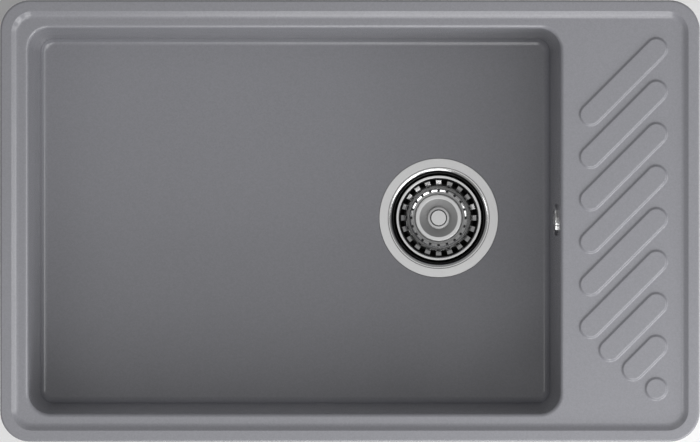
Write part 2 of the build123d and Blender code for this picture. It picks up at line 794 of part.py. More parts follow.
def union_nut(mouth_plane):
    """Union nut over a stub: threaded skirt, seal chamber and a lip round the hose."""
    outer_radius = stub_radius + union_gap + union_wall
    with BuildPart() as nut:
        with BuildSketch(mouth_plane.offset(-union_thread_length)):
            Circle(outer_radius)
            with PolarLocations(outer_radius, union_grip_count):
                Circle(union_grip_radius)
            Circle(stub_radius + union_gap, mode=Mode.SUBTRACT)
        extrude(amount=union_thread_length + union_seal_height)
        with BuildSketch(mouth_plane.offset(union_seal_height)):
            Circle(outer_radius)
            Circle(socket_radius, mode=Mode.SUBTRACT)
        extrude(amount=union_lip)
    return nut


hose_nut_upper = union_nut(stub_plane)
hose_nut_lower = union_nut(inlet_plane)
hose_seal_upper = ring_on(stub_plane, hose_cuff_radius, stub_radius, union_seal_height)
hose_seal_lower = ring_on(inlet_plane, hose_cuff_radius, stub_radius, union_seal_height)


def worktop_clip(face):
    """Bent sheet clip at its lowest place: a slotted leg on the pad and a tongue under the worktop."""
    tongue = clip_face_inset - clip_tip_inset
    slot_top = clip_screw_z + clip_screw_radius + clip_slot_gap
    slot_bottom = clip_screw_z - clip_travel - clip_screw_radius - clip_slot_gap
    leg_foot = slot_bottom - clip_foot
    side = Plane(origin=face.origin, x_dir=face.z_dir, z_dir=face.x_dir * -1)
    with BuildPart() as clip:
        with BuildSketch(side):
            with BuildLine():
                FilletPolyline(
                    (0, leg_foot),
                    (0, -worktop_thickest),
                    (tongue, -worktop_thickest),
                    radius=clip_bend_radius,
                )
                offset(amount=clip_sheet, side=Side.RIGHT)
            make_face()
        extrude(amount=clip_width / 2, both=True)
        with BuildSketch(face):
            with Locations((0, (slot_top + slot_bottom) / 2)):
                SlotOverall(slot_top - slot_bottom, 2 * (clip_screw_radius + clip_slot_gap), rotation=90)
        extrude(amount=clip_sheet, mode=Mode.SUBTRACT)
    return clip


clips = {name: worktop_clip(face) for name, face in clip_planes.items()}

# One screw, washer and insert to each clip
with BuildPart() as clip_inserts:
    for face in clip_planes.values():
        with BuildSketch(face):
            with Locations((0, clip_screw_z)):
                Circle(clip_insert_radius)
                Circle(clip_screw_radius + thread_gap, mode=Mode.SUBTRACT)
        extrude(amount=-clip_insert_length)

with BuildPart() as clip_washers:
    for face in clip_planes.values():
        with BuildSketch(face.offset(clip_sheet)):
            with Locations((0, clip_screw_z)):
                Circle(clip_washer_radius)
                Circle(clip_screw_radius + clip_slot_gap, mode=Mode.SUBTRACT)
        extrude(amount=clip_washer_thickness)

with BuildPart() as clip_screws:
    for face in clip_planes.values():
        head_seat = clip_sheet + clip_washer_thickness
        with BuildSketch(face.offset(head_seat)):
            with Locations((0, clip_screw_z)):
                Circle(clip_head_radius)
        extrude(amount=clip_head_height)
        with BuildSketch(face.offset(head_seat)):
            with Locations((0, clip_screw_z)):
                Circle(clip_screw_radius)
        extrude(amount=-(head_seat + clip_insert_length - clip_sheet))
        with BuildSketch(face.offset(head_seat + clip_head_height)):
            with Locations((0, clip_screw_z)):
                RegularPolygon(clip_screw_radius, 6)
        extrude(amount=-clip_head_socket, mode=Mode.SUBTRACT)

pieces = {
    "sink_basin": sink_basin,
    "rim_sealing_strip": rim_sealing_strip,
    "waste_cup": waste_cup,
    "cup_gasket": cup_gasket,
    "housing_gasket": housing_gasket,
    "waste_housing": waste_housing,
    "waste_bolt": waste_bolt,
    "bolt_insert": bolt_insert,
    "strainer_basket": strainer_basket,
    "basket_knob": basket_knob,
    "knob_washer": knob_washer,
    "stopper_carrier": stopper_carrier,
    "stopper_seal": stopper_seal,
    "stem_nut": stem_nut,
    "overflow_rosette": overflow_rosette,
    "overflow_screw": overflow_screw,
    "overflow_gasket": overflow_gasket,
    "overflow_elbow": overflow_elbow,
    "overflow_hose": overflow_hose,
    "hose_nut_upper": hose_nut_upper,
    "hose_nut_lower": hose_nut_lower,
    "hose_seal_upper": hose_seal_upper,
    "hose_seal_lower": hose_seal_lower,
    **clips,
    "clip_screws": clip_screws,
    "clip_washers": clip_washers,
    "clip_inserts": clip_inserts,
}

os.makedirs("parts", exist_ok=True)
for name, piece in pieces.items():
    piece.part.label = name
    export_step(piece.part, f"parts/{name}.step")
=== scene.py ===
"""Dresses a packed kitchen sink: a stone-composite basin with basket waste, overflow and worktop clips."""
import logging
import math
from collections.abc import Callable, Mapping, Sequence
from dataclasses import dataclass
from enum import Enum

import bmesh
import bpy
from mathutils import Matrix, Vector


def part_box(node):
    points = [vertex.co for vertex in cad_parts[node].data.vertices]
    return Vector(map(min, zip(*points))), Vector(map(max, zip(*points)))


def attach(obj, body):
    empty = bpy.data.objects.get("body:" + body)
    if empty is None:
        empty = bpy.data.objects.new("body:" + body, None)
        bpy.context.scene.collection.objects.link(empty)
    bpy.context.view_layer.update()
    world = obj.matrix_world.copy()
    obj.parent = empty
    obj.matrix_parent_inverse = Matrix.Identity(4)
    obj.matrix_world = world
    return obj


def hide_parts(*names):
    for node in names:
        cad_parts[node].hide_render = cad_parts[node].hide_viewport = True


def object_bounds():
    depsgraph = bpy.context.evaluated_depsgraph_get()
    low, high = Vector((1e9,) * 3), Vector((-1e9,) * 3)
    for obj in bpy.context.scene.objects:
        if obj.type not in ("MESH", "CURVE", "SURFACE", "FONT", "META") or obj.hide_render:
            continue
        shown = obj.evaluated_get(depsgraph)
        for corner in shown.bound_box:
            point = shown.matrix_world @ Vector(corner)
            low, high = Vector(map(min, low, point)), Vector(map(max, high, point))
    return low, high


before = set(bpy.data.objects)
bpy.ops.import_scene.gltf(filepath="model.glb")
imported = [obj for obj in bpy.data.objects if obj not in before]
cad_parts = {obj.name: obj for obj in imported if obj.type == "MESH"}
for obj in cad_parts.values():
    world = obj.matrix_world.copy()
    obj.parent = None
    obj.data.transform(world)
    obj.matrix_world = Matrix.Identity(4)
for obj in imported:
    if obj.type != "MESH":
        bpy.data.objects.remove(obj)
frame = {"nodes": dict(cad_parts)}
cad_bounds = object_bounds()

logging.basicConfig(level=logging.INFO, format="%(name)s: %(message)s")
log = logging.getLogger("sink")

MM = 0.001
POLE_RADIUS = 1e-6
WELD_DISTANCE = 2e-6
BAND_SOFT = 0.3 * MM
RUN_OUT = 4
THREAD_FOOT = 0.7
THREAD_CREST = 0.3
THREAD_STEPS = 48
BOWL_DRAFT = math.radians(2.5)
OVERFLOW_PLATE_HEIGHT = 3.0 * MM
CLIP_SCREW_DROP = 10.0 * MM
KEYS_PER_METRE = 1e6
SHARP_CAST = 38.0
SHARP_TURNED = 40.0
SHARP_FORMED = 35.0
SHARP_HOSE = 50.0

Point = tuple[float, float]
Colour = tuple[float, float, float, float]
Key = tuple[int, int, int]
Loop = frozenset[Key]
Source = bpy.types.NodeSocket | float | Sequence[float]
Limit = tuple[Source, Source]


# Benchwork: selection, lathe, loops and modifiers


def clear_selection() -> None:
    """Leaves edit mode and deselects every object."""
    active = bpy.context.view_layer.objects.active
    if active is not None and active.mode != "OBJECT":
        bpy.ops.object.mode_set(mode="OBJECT")
    bpy.ops.object.select_all(action="DESELECT")


def pick(piece: bpy.types.Object) -> None:
    """Makes one object the active and only selected one."""
    clear_selection()
    piece.select_set(True)
    bpy.context.view_layer.objects.active = piece


def open_bench(piece: bpy.types.Object) -> None:
    """Takes a piece into edit mode with nothing selected."""
    pick(piece)
    bpy.ops.object.mode_set(mode="EDIT")
    bpy.ops.mesh.select_mode(type="VERT")
    bpy.ops.mesh.select_all(action="DESELECT")


def close_bench(weld: float = WELD_DISTANCE) -> None:
    """Merges doubles, turns the faces outwards and leaves edit mode.

    Args:
        weld: distance under which two points become one.
    """
    bpy.ops.mesh.select_all(action="SELECT")
    bpy.ops.mesh.remove_doubles(threshold=weld)
    bpy.ops.mesh.normals_make_consistent(inside=False)
    bpy.ops.object.mode_set(mode="OBJECT")


def select_faces(piece: bpy.types.Object, test: Callable[[bmesh.types.BMFace], bool]) -> None:
    """Selects the faces of a piece in edit mode that pass a test.

    Args:
        piece: the object in edit mode.
        test: tells whether a face is wanted.
    """
    bpy.ops.mesh.select_mode(type="FACE")
    bpy.ops.mesh.select_all(action="DESELECT")
    mesh = bmesh.from_edit_mesh(piece.data)
    for face in [face for face in mesh.faces if test(face)]:
        face.select_set(True)
    bmesh.update_edit_mesh(piece.data)


def select_points(piece: bpy.types.Object, test: Callable[[Vector], bool]) -> None:
    """Selects the points of a piece in edit mode that pass a test, with the edges between them.

    Args:
        piece: the object in edit mode.
        test: tells whether a place is wanted.
    """
    bpy.ops.mesh.select_mode(type="VERT")
    bpy.ops.mesh.select_all(action="DESELECT")
    mesh = bmesh.from_edit_mesh(piece.data)
    for vert in mesh.verts:
        vert.select_set(test(vert.co))
    mesh.select_flush(True)
    bmesh.update_edit_mesh(piece.data)


def work(piece: bpy.types.Object, kind: str, **settings: object) -> None:
    """Puts a modifier on a piece and applies it.

    Args:
        piece: the object to change.
        kind: the modifier's type.
        settings: the modifier's own settings.
    """
    pick(piece)
    modifier = piece.modifiers.new(kind.lower(), kind)
    for name, value in settings.items():
        setattr(modifier, name, value)
    bpy.ops.object.modifier_apply(modifier=modifier.name)


def scrap(piece: bpy.types.Object) -> None:
    """Removes a helper object with its mesh."""
    data = piece.data
    bpy.data.objects.remove(piece)
    if isinstance(data, bpy.types.Mesh):
        bpy.data.meshes.remove(data)


class Cut(Enum):
    """Ways of joining a second shape to a piece."""

    TAKE = "DIFFERENCE"
    WELD = "UNION"


def combine(piece: bpy.types.Object, other: bpy.types.Object, cut: Cut) -> None:
    """Cuts a shape out of a piece or welds it on, and removes the shape.

    Args:
        piece: the piece that stays.
        other: the shape that is used up.
        cut: what is done with it.
    """
    work(piece, "BOOLEAN", object=other, operation=cut.value, solver="EXACT")
    scrap(other)


def join(pieces: Sequence[bpy.types.Object]) -> bpy.types.Object:
    """Joins objects into the first of them.

    Args:
        pieces: the objects, of which the first keeps its name.

    Returns:
        The joined object.
    """
    pick(pieces[0])
    for piece in pieces[1:]:
        piece.select_set(True)
    if len(pieces) > 1:
        bpy.ops.object.join()
    return pieces[0]


def settle(piece: bpy.types.Object, place: Matrix) -> bpy.types.Object:
    """Moves a piece to its place and puts that place into its mesh.

    Args:
        piece: the piece as modelled about the origin.
        place: where it goes.

    Returns:
        The same piece.
    """
    piece.matrix_world = place
    pick(piece)
    bpy.ops.object.transform_apply(location=True, rotation=True, scale=True)
    return piece


def copy_of(piece: bpy.types.Object, name: str) -> bpy.types.Object:
    """Copies an object with a mesh of its own.

    Args:
        piece: the modelled object.
        name: the copy's name.

    Returns:
        The copy.
    """
    twin = piece.copy()
    twin.data = piece.data.copy()
    twin.name = name
    bpy.context.collection.objects.link(twin)
    return twin


def shade(piece: bpy.types.Object, degrees: float, weighted: bool = True) -> None:
    """Shades a piece smooth up to an angle.

    Args:
        piece: the finished mesh.
        degrees: edges steeper than this stay sharp.
        weighted: whether large faces keep their own normals.
    """
    pick(piece)
    bpy.ops.object.shade_smooth_by_angle(angle=math.radians(degrees))
    if weighted:
        work(piece, "WEIGHTED_NORMAL", keep_sharp=True, weight=50)


def rounded(points: Sequence[Point], bends: Sequence[float], steps: int = 6) -> list[Point]:
    """Rounds the inner corners of a profile.

    Args:
        points: the corners in order.
        bends: the bend radius at each inner corner, 0 for a sharp one.
        steps: segments in each bend.

    Returns:
        The rounded profile.
    """
    outline: list[Point] = [points[0]]
    for before, corner, after, bend in zip(points, points[1:], points[2:], bends):
        if bend <= 0:
            outline.append(corner)
            continue
        middle = Vector(corner)
        back = (Vector(before) - middle).normalized()
        ahead = (Vector(after) - middle).normalized()
        half = back.angle(ahead) / 2
        reach = bend / math.tan(half)
        centre = middle + (back + ahead).normalized() * (bend / math.sin(half))
        first = (middle + back * reach - centre).normalized()
        last = (middle + ahead * reach - centre).normalized()
        for step in range(steps + 1):
            spot = centre + first.slerp(last, step / steps) * bend
            outline.append((spot.x, spot.y))
    outline.append(points[-1])
    return outline


def turned(name: str, profile: Sequence[Point], segments: int, closed: bool = False) -> bpy.types.Object:
    """Makes a round piece as on a lathe, about the Z axis.

    Args:
        name: the new object's name.
        profile: (radius, height) points.
        segments: steps round the axis.
        closed: whether the profile returns to its start.

    Returns:
        The new object, about the origin.
    """
    path = [*profile, profile[0]] if closed else list(profile)
    clear_selection()
    start = max(path[0][0], POLE_RADIUS)
    bpy.ops.mesh.primitive_circle_add(vertices=segments, radius=start, fill_type="NOTHING")
    piece = bpy.context.object
    piece.name = name
    bpy.ops.object.mode_set(mode="EDIT")
    bpy.ops.mesh.select_all(action="SELECT")
    bpy.ops.transform.translate(value=(0, 0, path[0][1]))
    for (radius, height), (next_radius, next_height) in zip(path, path[1:]):
        bpy.ops.mesh.extrude_edges_move(TRANSFORM_OT_translate={"value": (0, 0, next_height - height)})
        scale = max(next_radius, POLE_RADIUS) / max(radius, POLE_RADIUS)
        bpy.ops.transform.resize(value=(scale, scale, 1), center_override=(0, 0, next_height))
    close_bench()
    return piece


def sheet_up(piece: bpy.types.Object) -> None:
    """Turns an open pressed sheet so that most of its face area looks upwards."""
    lift = sum(face.normal.z * face.area for face in piece.data.polygons)
    if lift < 0:
        pick(piece)
        bpy.ops.object.mode_set(mode="EDIT")
        bpy.ops.mesh.select_all(action="SELECT")
        bpy.ops.mesh.flip_normals()
        bpy.ops.object.mode_set(mode="OBJECT")


def rod(name: str, radius: float, top: float, foot: float, segments: int) -> bpy.types.Object:
    """Turns a plain rod about the Z axis, from its top down to its foot."""
    return turned(name, [(0.0, top), (radius, top), (radius, foot), (0.0, foot)], segments)


def plane_bench(name: str) -> bpy.types.Object:
    """Starts a piece from a plane and leaves it in edit mode with everything selected."""
    clear_selection()
    bpy.ops.mesh.primitive_plane_add(size=1)
    piece = bpy.context.object
    piece.name = name
    bpy.ops.object.mode_set(mode="EDIT")
    bpy.ops.mesh.select_all(action="SELECT")
    return piece


def block(name: str, low: Vector, high: Vector) -> bpy.types.Object:
    """Makes a helper block between two corners, extruded from a plane.

    Args:
        name: the new object's name.
        low: lowest corner.
        high: highest corner.

    Returns:
        The block.
    """
    size = high - low
    piece = plane_bench(name)
    bpy.ops.transform.resize(value=(size.x, size.y, 1), center_override=(0, 0, 0))
    bpy.ops.transform.translate(value=((low.x + high.x) / 2, (low.y + high.y) / 2, low.z))
    bpy.ops.mesh.extrude_region_move(TRANSFORM_OT_translate={"value": (0, 0, size.z)})
    close_bench()
    return piece


def thread_ridge(core: float, crest: float, pitch: float, low: float, turns: int) -> bpy.types.Object:
    """Winds the ridge of a screw thread about the Z axis.

    Args:
        core: radius in which the ridge is rooted.
        crest: radius of its crest.
        pitch: rise of one turn.
        low: height of its lower end.
        turns: number of turns.

    Returns:
        The closed ridge.
    """
    ridge = plane_bench("thread_ridge")
    bpy.ops.transform.resize(value=(crest - core, THREAD_FOOT * pitch, 1), center_override=(0, 0, 0))
    bpy.ops.transform.rotate(value=math.pi / 2, orient_axis="X", center_override=(0, 0, 0))
    bpy.ops.transform.translate(value=((core + crest) / 2, 0, low))
    select_points(ridge, lambda spot: spot.x > (core + crest) / 2)
    bpy.ops.transform.resize(value=(1, 1, THREAD_CREST), center_override=(crest, 0, low))
    bpy.ops.mesh.select_all(action="SELECT")
    bpy.ops.mesh.delete(type="ONLY_FACE")
    bpy.ops.object.mode_set(mode="OBJECT")
    work(ridge, "SCREW", axis="Z", angle=2 * math.pi, screw_offset=pitch, iterations=turns,
         steps=THREAD_STEPS, render_steps=THREAD_STEPS)
    open_bench(ridge)
    bpy.ops.mesh.select_all(action="SELECT")
    bpy.ops.mesh.fill_holes(sides=4)
    close_bench()
    return ridge


@dataclass(frozen=True)
class HoleRing:
    """A ring of round holes about the Z axis."""

    count: int
    radius: float
    circle: float
    segments: int

    def drill(self, piece: bpy.types.Object, height: float, above: float, below: float) -> None:
        """Drills the holes through a piece.

        Args:
            piece: a piece about the Z axis.
            height: the level at which the holes start.
            above: how far each drill reaches above that level.
            below: how far it reaches below it.
        """
        drills = []
        for number in range(self.count):
            angle = 2 * math.pi * number / self.count
            spot = (self.circle * math.cos(angle), self.circle * math.sin(angle), height)
            drill = rod("drill", self.radius, above, -below, self.segments)
            drills.append(settle(drill, Matrix.Translation(spot)))
        combine(piece, join(drills), Cut.TAKE)


def key_of(spot: Vector) -> Key:
    """Gives a point a key by its place to the micrometre."""
    return tuple(round(value * KEYS_PER_METRE) for value in spot)


@dataclass(frozen=True)
class Slab:
    """A level rectangle with round corners."""

    length: float
    width: float
    corner: float
    middle: tuple[float, float, float]
    turn: float = 0.0

    def pivot(self, signs: Point) -> Vector:
        """Gives the centre of the round corner in one quarter, seen from the middle."""
        along = signs[0] * (self.length / 2 - self.corner)
        across = signs[1] * (self.width / 2 - self.corner)
        return Vector((along, across, 0.0))

    def carry(self, spot: Vector, goal: "Slab") -> Vector:
        """Moves a point of this outline to the same point of another.

        Args:
            spot: a point on a corner of this outline.
            goal: the outline that it goes to.

        Returns:
            Its new place.
        """
        back = Matrix.Rotation(-self.turn, 3, "Z")
        local = back @ (spot - Vector(self.middle))
        signs = (math.copysign(1.0, local.x), math.copysign(1.0, local.y))
        way = (local - self.pivot(signs)) * (goal.corner / self.corner)
        return Vector(goal.middle) + Matrix.Rotation(goal.turn, 3, "Z") @ (goal.pivot(signs) + way)


class LoopBench:
    """Edit-mode bench on which closed loops of edges are laid, extruded and filled."""

    def __init__(self, name: str) -> None:
        """Starts an empty piece from a plane whose corners are cleared away."""
        self.piece = plane_bench(name)
        bpy.ops.mesh.delete(type="VERT")

    def _selected(self) -> Loop:
        """Keys of the selected points."""
        mesh = bmesh.from_edit_mesh(self.piece.data)
        return frozenset(key_of(vert.co) for vert in mesh.verts if vert.select)

    def _select(self, loops: Sequence[Loop]) -> None:
        """Selects the edges of the named loops and nothing else."""
        bpy.ops.mesh.select_mode(type="VERT")
        bpy.ops.mesh.select_all(action="DESELECT")
        mesh = bmesh.from_edit_mesh(self.piece.data)
        place = {vert: key_of(vert.co) for vert in mesh.verts}
        for edge in mesh.edges:
            ends = [place[vert] for vert in edge.verts]
            if any(ends[0] in loop and ends[1] in loop for loop in loops):
                edge.select_set(True)
        bpy.ops.mesh.select_mode(type="EDGE")
        bmesh.update_edit_mesh(self.piece.data)

    def _lay(self, slab: Slab, steps: int) -> Loop:
        """Lays one outline from a plane with bevelled corners and returns its loop."""
        bpy.ops.mesh.select_mode(type="VERT")
        bpy.ops.mesh.select_all(action="DESELECT")
        bpy.ops.mesh.primitive_plane_add(size=1)
        bpy.ops.transform.resize(value=(slab.length, slab.width, 1), center_override=(0, 0, 0))
        bpy.ops.mesh.bevel(affect="VERTICES", offset=slab.corner, segments=steps, profile=0.5)
        bpy.ops.mesh.remove_doubles(threshold=WELD_DISTANCE * 5)
        if slab.turn:
            bpy.ops.transform.rotate(value=-slab.turn, orient_axis="Z", center_override=(0, 0, 0))
        bpy.ops.transform.translate(value=slab.middle)
        loop = self._selected()
        bpy.ops.mesh.delete(type="ONLY_FACE")
        return loop

    def sleeve(self, slabs: Sequence[Slab], steps: int) -> tuple[Loop, Loop]:
        """Extrudes an outline through a row of others.

        Args:
            slabs: the outlines in order.
            steps: segments in each corner.

        Returns:
            The first and the last loop.
        """
        first = self._lay(slabs[0], steps)
        self._select([first])
        for slab, goal in zip(slabs, slabs[1:]):
            bpy.ops.mesh.extrude_edges_move()
            mesh = bmesh.from_edit_mesh(self.piece.data)
            for vert in mesh.verts:
                if vert.select:
                    vert.co = slab.carry(vert.co, goal)
            bmesh.update_edit_mesh(self.piece.data)
        return first, self._selected()

    def bush(self, profile: Sequence[Point], middle: Point, steps: int = 96) -> tuple[Loop, Loop]:
        """Extrudes a circle along a profile of radius and height.

        Args:
            profile: the radius and height of each ring.
            middle: where the axis stands.
            steps: segments round the axis.

        Returns:
            The first and the last loop.
        """
        bpy.ops.mesh.select_all(action="DESELECT")
        radius, height = profile[0]
        bpy.ops.mesh.primitive_circle_add(
            vertices=steps, radius=radius, fill_type="NOTHING", location=(*middle, height))
        first = self._selected()
        for (radius, height), (next_radius, next_height) in zip(profile, profile[1:]):
            bpy.ops.mesh.extrude_edges_move(TRANSFORM_OT_translate={"value": (0, 0, next_height - height)})
            scale = next_radius / radius
            bpy.ops.transform.resize(value=(scale, scale, 1), center_override=(*middle, next_height))
        return first, self._selected()

    def fill(self, *loops: Loop) -> None:
        """Fills the level face between an outer loop and the loops inside it."""
        self._select(loops)
        bpy.ops.mesh.fill(use_beauty=True)

    def cap(self, loop: Loop) -> None:
        """Closes one loop with a single face."""
        self._select([loop])
        bpy.ops.mesh.edge_face_add()

    def finish(self) -> bpy.types.Object:
        """Welds the loops together and returns the piece."""
        close_bench()
        return self.piece


# Shader effects and finishes


class Board:
    """Adds nodes to a tree and wires them."""

    def __init__(self, tree: bpy.types.NodeTree) -> None:
        """Keeps the tree."""
        self.tree = tree

    def put(
        self, kind: str, wires: Mapping[str | int, Source] | None = None, **settings: object
    ) -> bpy.types.Node:
        """Adds a node.

        Args:
            kind: the node's type.
            wires: what goes into its sockets, a value or another socket.
            settings: the node's own settings.

        Returns:
            The node.
        """
        node = self.tree.nodes.new(kind)
        for name, value in settings.items():
            setattr(node, name, value)
        for place, source in (wires or {}).items():
            if isinstance(source, bpy.types.NodeSocket):
                self.tree.links.new(source, node.inputs[place])
            else:
                node.inputs[place].default_value = source
        return node

    def math(self, operation: str, first: Source, second: Source) -> bpy.types.NodeSocket:
        """Adds a sum and returns its result."""
        return self.put("ShaderNodeMath", {0: first, 1: second}, operation=operation).outputs[0]

    def vector(self, operation: str, first: Source, second: Source) -> bpy.types.NodeSocket:
        """Adds a sum of two vectors and returns its result."""
        return self.put("ShaderNodeVectorMath", {0: first, 1: second}, operation=operation).outputs[0]

    def weigh(self, *parts: tuple[Source, float]) -> bpy.types.NodeSocket:
        """Adds up values, each with its share, and returns the sum."""
        total, *others = [self.math("MULTIPLY", value, share) for value, share in parts]
        for value in others:
            total = self.math("ADD", total, value)
        return total

    def place(self) -> bpy.types.NodeSocket:
        """Gives the place in the piece's own coordinates."""
        return self.put("ShaderNodeTexCoord").outputs["Object"]

    def from_axis(self, axis: Source) -> tuple[bpy.types.NodeSocket, bpy.types.NodeSocket]:
        """Gives the way from a point on an upright axis and the distance from that axis."""
        away = self.vector("SUBTRACT", self.place(), axis)
        flat = self.vector("MULTIPLY", away, (1.0, 1.0, 0.0))
        radius = self.put("ShaderNodeVectorMath", {0: flat}, operation="LENGTH").outputs["Value"]
        return away, radius

    def span(self, value: Source, low: Limit, high: Limit) -> bpy.types.NodeSocket:
        """Maps a value from one span to another.

        Args:
            value: what is mapped.
            low: where the span starts, before and after.
            high: where it ends, before and after.

        Returns:
            The mapped value.
        """
        wires = {
            "Value": value, "From Min": low[0], "To Min": low[1], "From Max": high[0], "To Max": high[1],
        }
        return self.put("ShaderNodeMapRange", wires).outputs["Result"]

    def blend(self, share: Source, first: Source, second: Source) -> bpy.types.NodeSocket:
        """Mixes two colours and returns the mixture."""
        node = self.put("ShaderNodeMix", {0: share, 6: first, 7: second}, data_type="RGBA")
        return node.outputs[2]

    def noise(self, place: Source, scale: Source, detail: float, rough: float) -> bpy.types.NodeSocket:
        """Adds a noise texture and returns its value."""
        wires = {"Vector": place, "Scale": scale, "Detail": detail, "Roughness": rough}
        return self.put("ShaderNodeTexNoise", wires).outputs["Fac"]


class Effects:
    """Shader node groups that several finishes share, each built once."""

    def __init__(self) -> None:
        """Builds the groups."""
        self.speckle = self._speckle()
        self.smudge = self._smudge()
        self.wear = self._wear()
        self.lathe = self._lathe()
        self.mould = self._mould()
        self.band = self._band()

    @staticmethod
    def _group(
        name: str, inputs: Mapping[str, float | tuple[float, float, float]], outputs: Sequence[str]
    ) -> tuple[Board, dict, dict]:
        """Opens a new group.

        Args:
            name: the group's name.
            inputs: socket names with their first values.
            outputs: names of the value sockets that it puts out.

        Returns:
            The board, the input sockets and the output sockets by name.
        """
        tree = bpy.data.node_groups.new(name, "ShaderNodeTree")
        for label, value in inputs.items():
            kind = "NodeSocketFloat" if isinstance(value, float) else "NodeSocketVector"
            socket = tree.interface.new_socket(label, in_out="INPUT", socket_type=kind)
            socket.default_value = value
        for label in outputs:
            tree.interface.new_socket(label, in_out="OUTPUT", socket_type="NodeSocketFloat")
        board = Board(tree)
        source = board.put("NodeGroupInput")
        drain = board.put("NodeGroupOutput")
        return board, dict(source.outputs.items()), dict(drain.inputs.items())

    def _speckle(self) -> bpy.types.NodeTree:
        """Grains of a mineral filling: tint and height."""
        first = {"Grains": 900.0, "Clouds": 14.0}
        board, given, put_out = self._group("mineral_speckle", first, ["Tint", "Height"])
        place = board.place()
        wires = {"Vector": place, "Scale": given["Grains"], "Randomness": 1.0}
        cells = board.put("ShaderNodeTexVoronoi", wires)
        shade_of_grain = board.put("ShaderNodeSeparateColor", {0: cells.outputs["Color"]}).outputs[0]
        fine = board.noise(place, given["Grains"], 2.0, 0.6)
        cloud = board.noise(place, given["Clouds"], 4.0, 0.6)
        tint = board.weigh((shade_of_grain, 0.42), (fine, 0.38), (cloud, 0.2))
        board.tree.links.new(tint, put_out["Tint"])
        height = board.weigh((cells.outputs["Distance"], 0.5), (fine, 0.5))
        board.tree.links.new(height, put_out["Height"])
        return board.tree

    def _smudge(self) -> bpy.types.NodeTree:
        """Soft clouds of handling: a value between two limits."""
        first = {"Scale": 30.0, "Low": 0.2, "High": 0.3}
        board, given, put_out = self._group("handling_clouds", first, ["Value"])
        place = board.place()
        broad = board.noise(place, given["Scale"], 4.0, 0.62)
        fine = board.noise(place, board.math("MULTIPLY", given["Scale"], 7.3), 3.0, 0.5)
        both = board.weigh((broad, 0.7), (fine, 0.3))
        mapped = board.span(both, (0.32, given["Low"]), (0.68, given["High"]))
        board.tree.links.new(mapped, put_out["Value"])
        return board.tree

    def _wear(self) -> bpy.types.NodeTree:
        """Rubbed edges: a mask that is 1 on worn corners."""
        board, given, put_out = self._group("edge_wear", {"Radius": 0.0012, "Patches": 60.0}, ["Mask"])
        soft = board.put("ShaderNodeBevel", {"Radius": given["Radius"]}, samples=4).outputs["Normal"]
        true = board.put("ShaderNodeNewGeometry").outputs["Normal"]
        wires = {0: soft, 1: true}
        match = board.put("ShaderNodeVectorMath", wires, operation="DOT_PRODUCT").outputs["Value"]
        edge = board.span(match, (0.995, 0.0), (0.86, 1.0))
        patches = board.noise(board.place(), given["Patches"], 5.0, 0.65)
        patchy = board.span(patches, (0.35, 0.15), (0.65, 1.0))
        board.tree.links.new(board.math("MULTIPLY", edge, patchy), put_out["Mask"])
        return board.tree

    def _lathe(self) -> bpy.types.NodeTree:
        """Fine rings left by turning, about an upright axis: height and tint."""
        first = {"Axis": (0.0, 0.0, 0.0), "Lines": 3000.0}
        board, given, put_out = self._group("turning_lines", first, ["Height", "Tint"])
        away, radius = board.from_axis(given["Axis"])
        depth = board.put("ShaderNodeSeparateXYZ", {0: away}).outputs["Z"]
        ring = board.put("ShaderNodeCombineXYZ", {0: radius, 1: depth}).outputs[0]
        lines = board.noise(ring, given["Lines"], 3.0, 0.7)
        board.tree.links.new(lines, put_out["Height"])
        board.tree.links.new(board.span(lines, (0.3, 0.0), (0.7, 1.0)), put_out["Tint"])
        return board.tree

    def _band(self) -> bpy.types.NodeTree:
        """A band between two radii about an upright axis: a mask that is 1 inside it."""
        first = {"Axis": (0.0, 0.0, 0.0), "Inner": 0.0, "Outer": 0.01, "Soft": 0.0002}
        board, given, put_out = self._group("radius_band", first, ["Mask"])
        _, radius = board.from_axis(given["Axis"])
        sides = []
        for larger, smaller in ((radius, given["Inner"]), (given["Outer"], radius)):
            step = board.math("DIVIDE", board.math("SUBTRACT", larger, smaller), given["Soft"])
            side = board.put("ShaderNodeClamp", {"Value": board.math("ADD", step, 0.5)})
            sides.append(side.outputs["Result"])
        board.tree.links.new(board.math("MULTIPLY", sides[0], sides[1]), put_out["Mask"])
        return board.tree

    def _mould(self) -> bpy.types.NodeTree:
        """Spark-eroded mould skin: height and tint."""
        board, given, put_out = self._group("mould_skin", {"Grain": 2600.0}, ["Height", "Tint"])
        place = board.place()
        skin = board.noise(place, given["Grain"], 2.0, 0.5)
        flow = board.noise(place, 22.0, 3.0, 0.5)
        board.tree.links.new(skin, put_out["Height"])
        board.tree.links.new(board.weigh((skin, 0.35), (flow, 0.65)), put_out["Tint"])
        return board.tree


def new_material(name: str) -> tuple[bpy.types.Material, Board, bpy.types.Node]:
    """Opens a material with a bare shader.

    Args:
        name: the material's name.

    Returns:
        The material, its board and its shader node.
    """
    material = bpy.data.materials.new(name)
    material.use_nodes = True
    material.node_tree.nodes.clear()
    board = Board(material.node_tree)
    shader = board.put("ShaderNodeBsdfPrincipled")
    board.put("ShaderNodeOutputMaterial", {"Surface": shader.outputs["BSDF"]})
    return material, board, shader


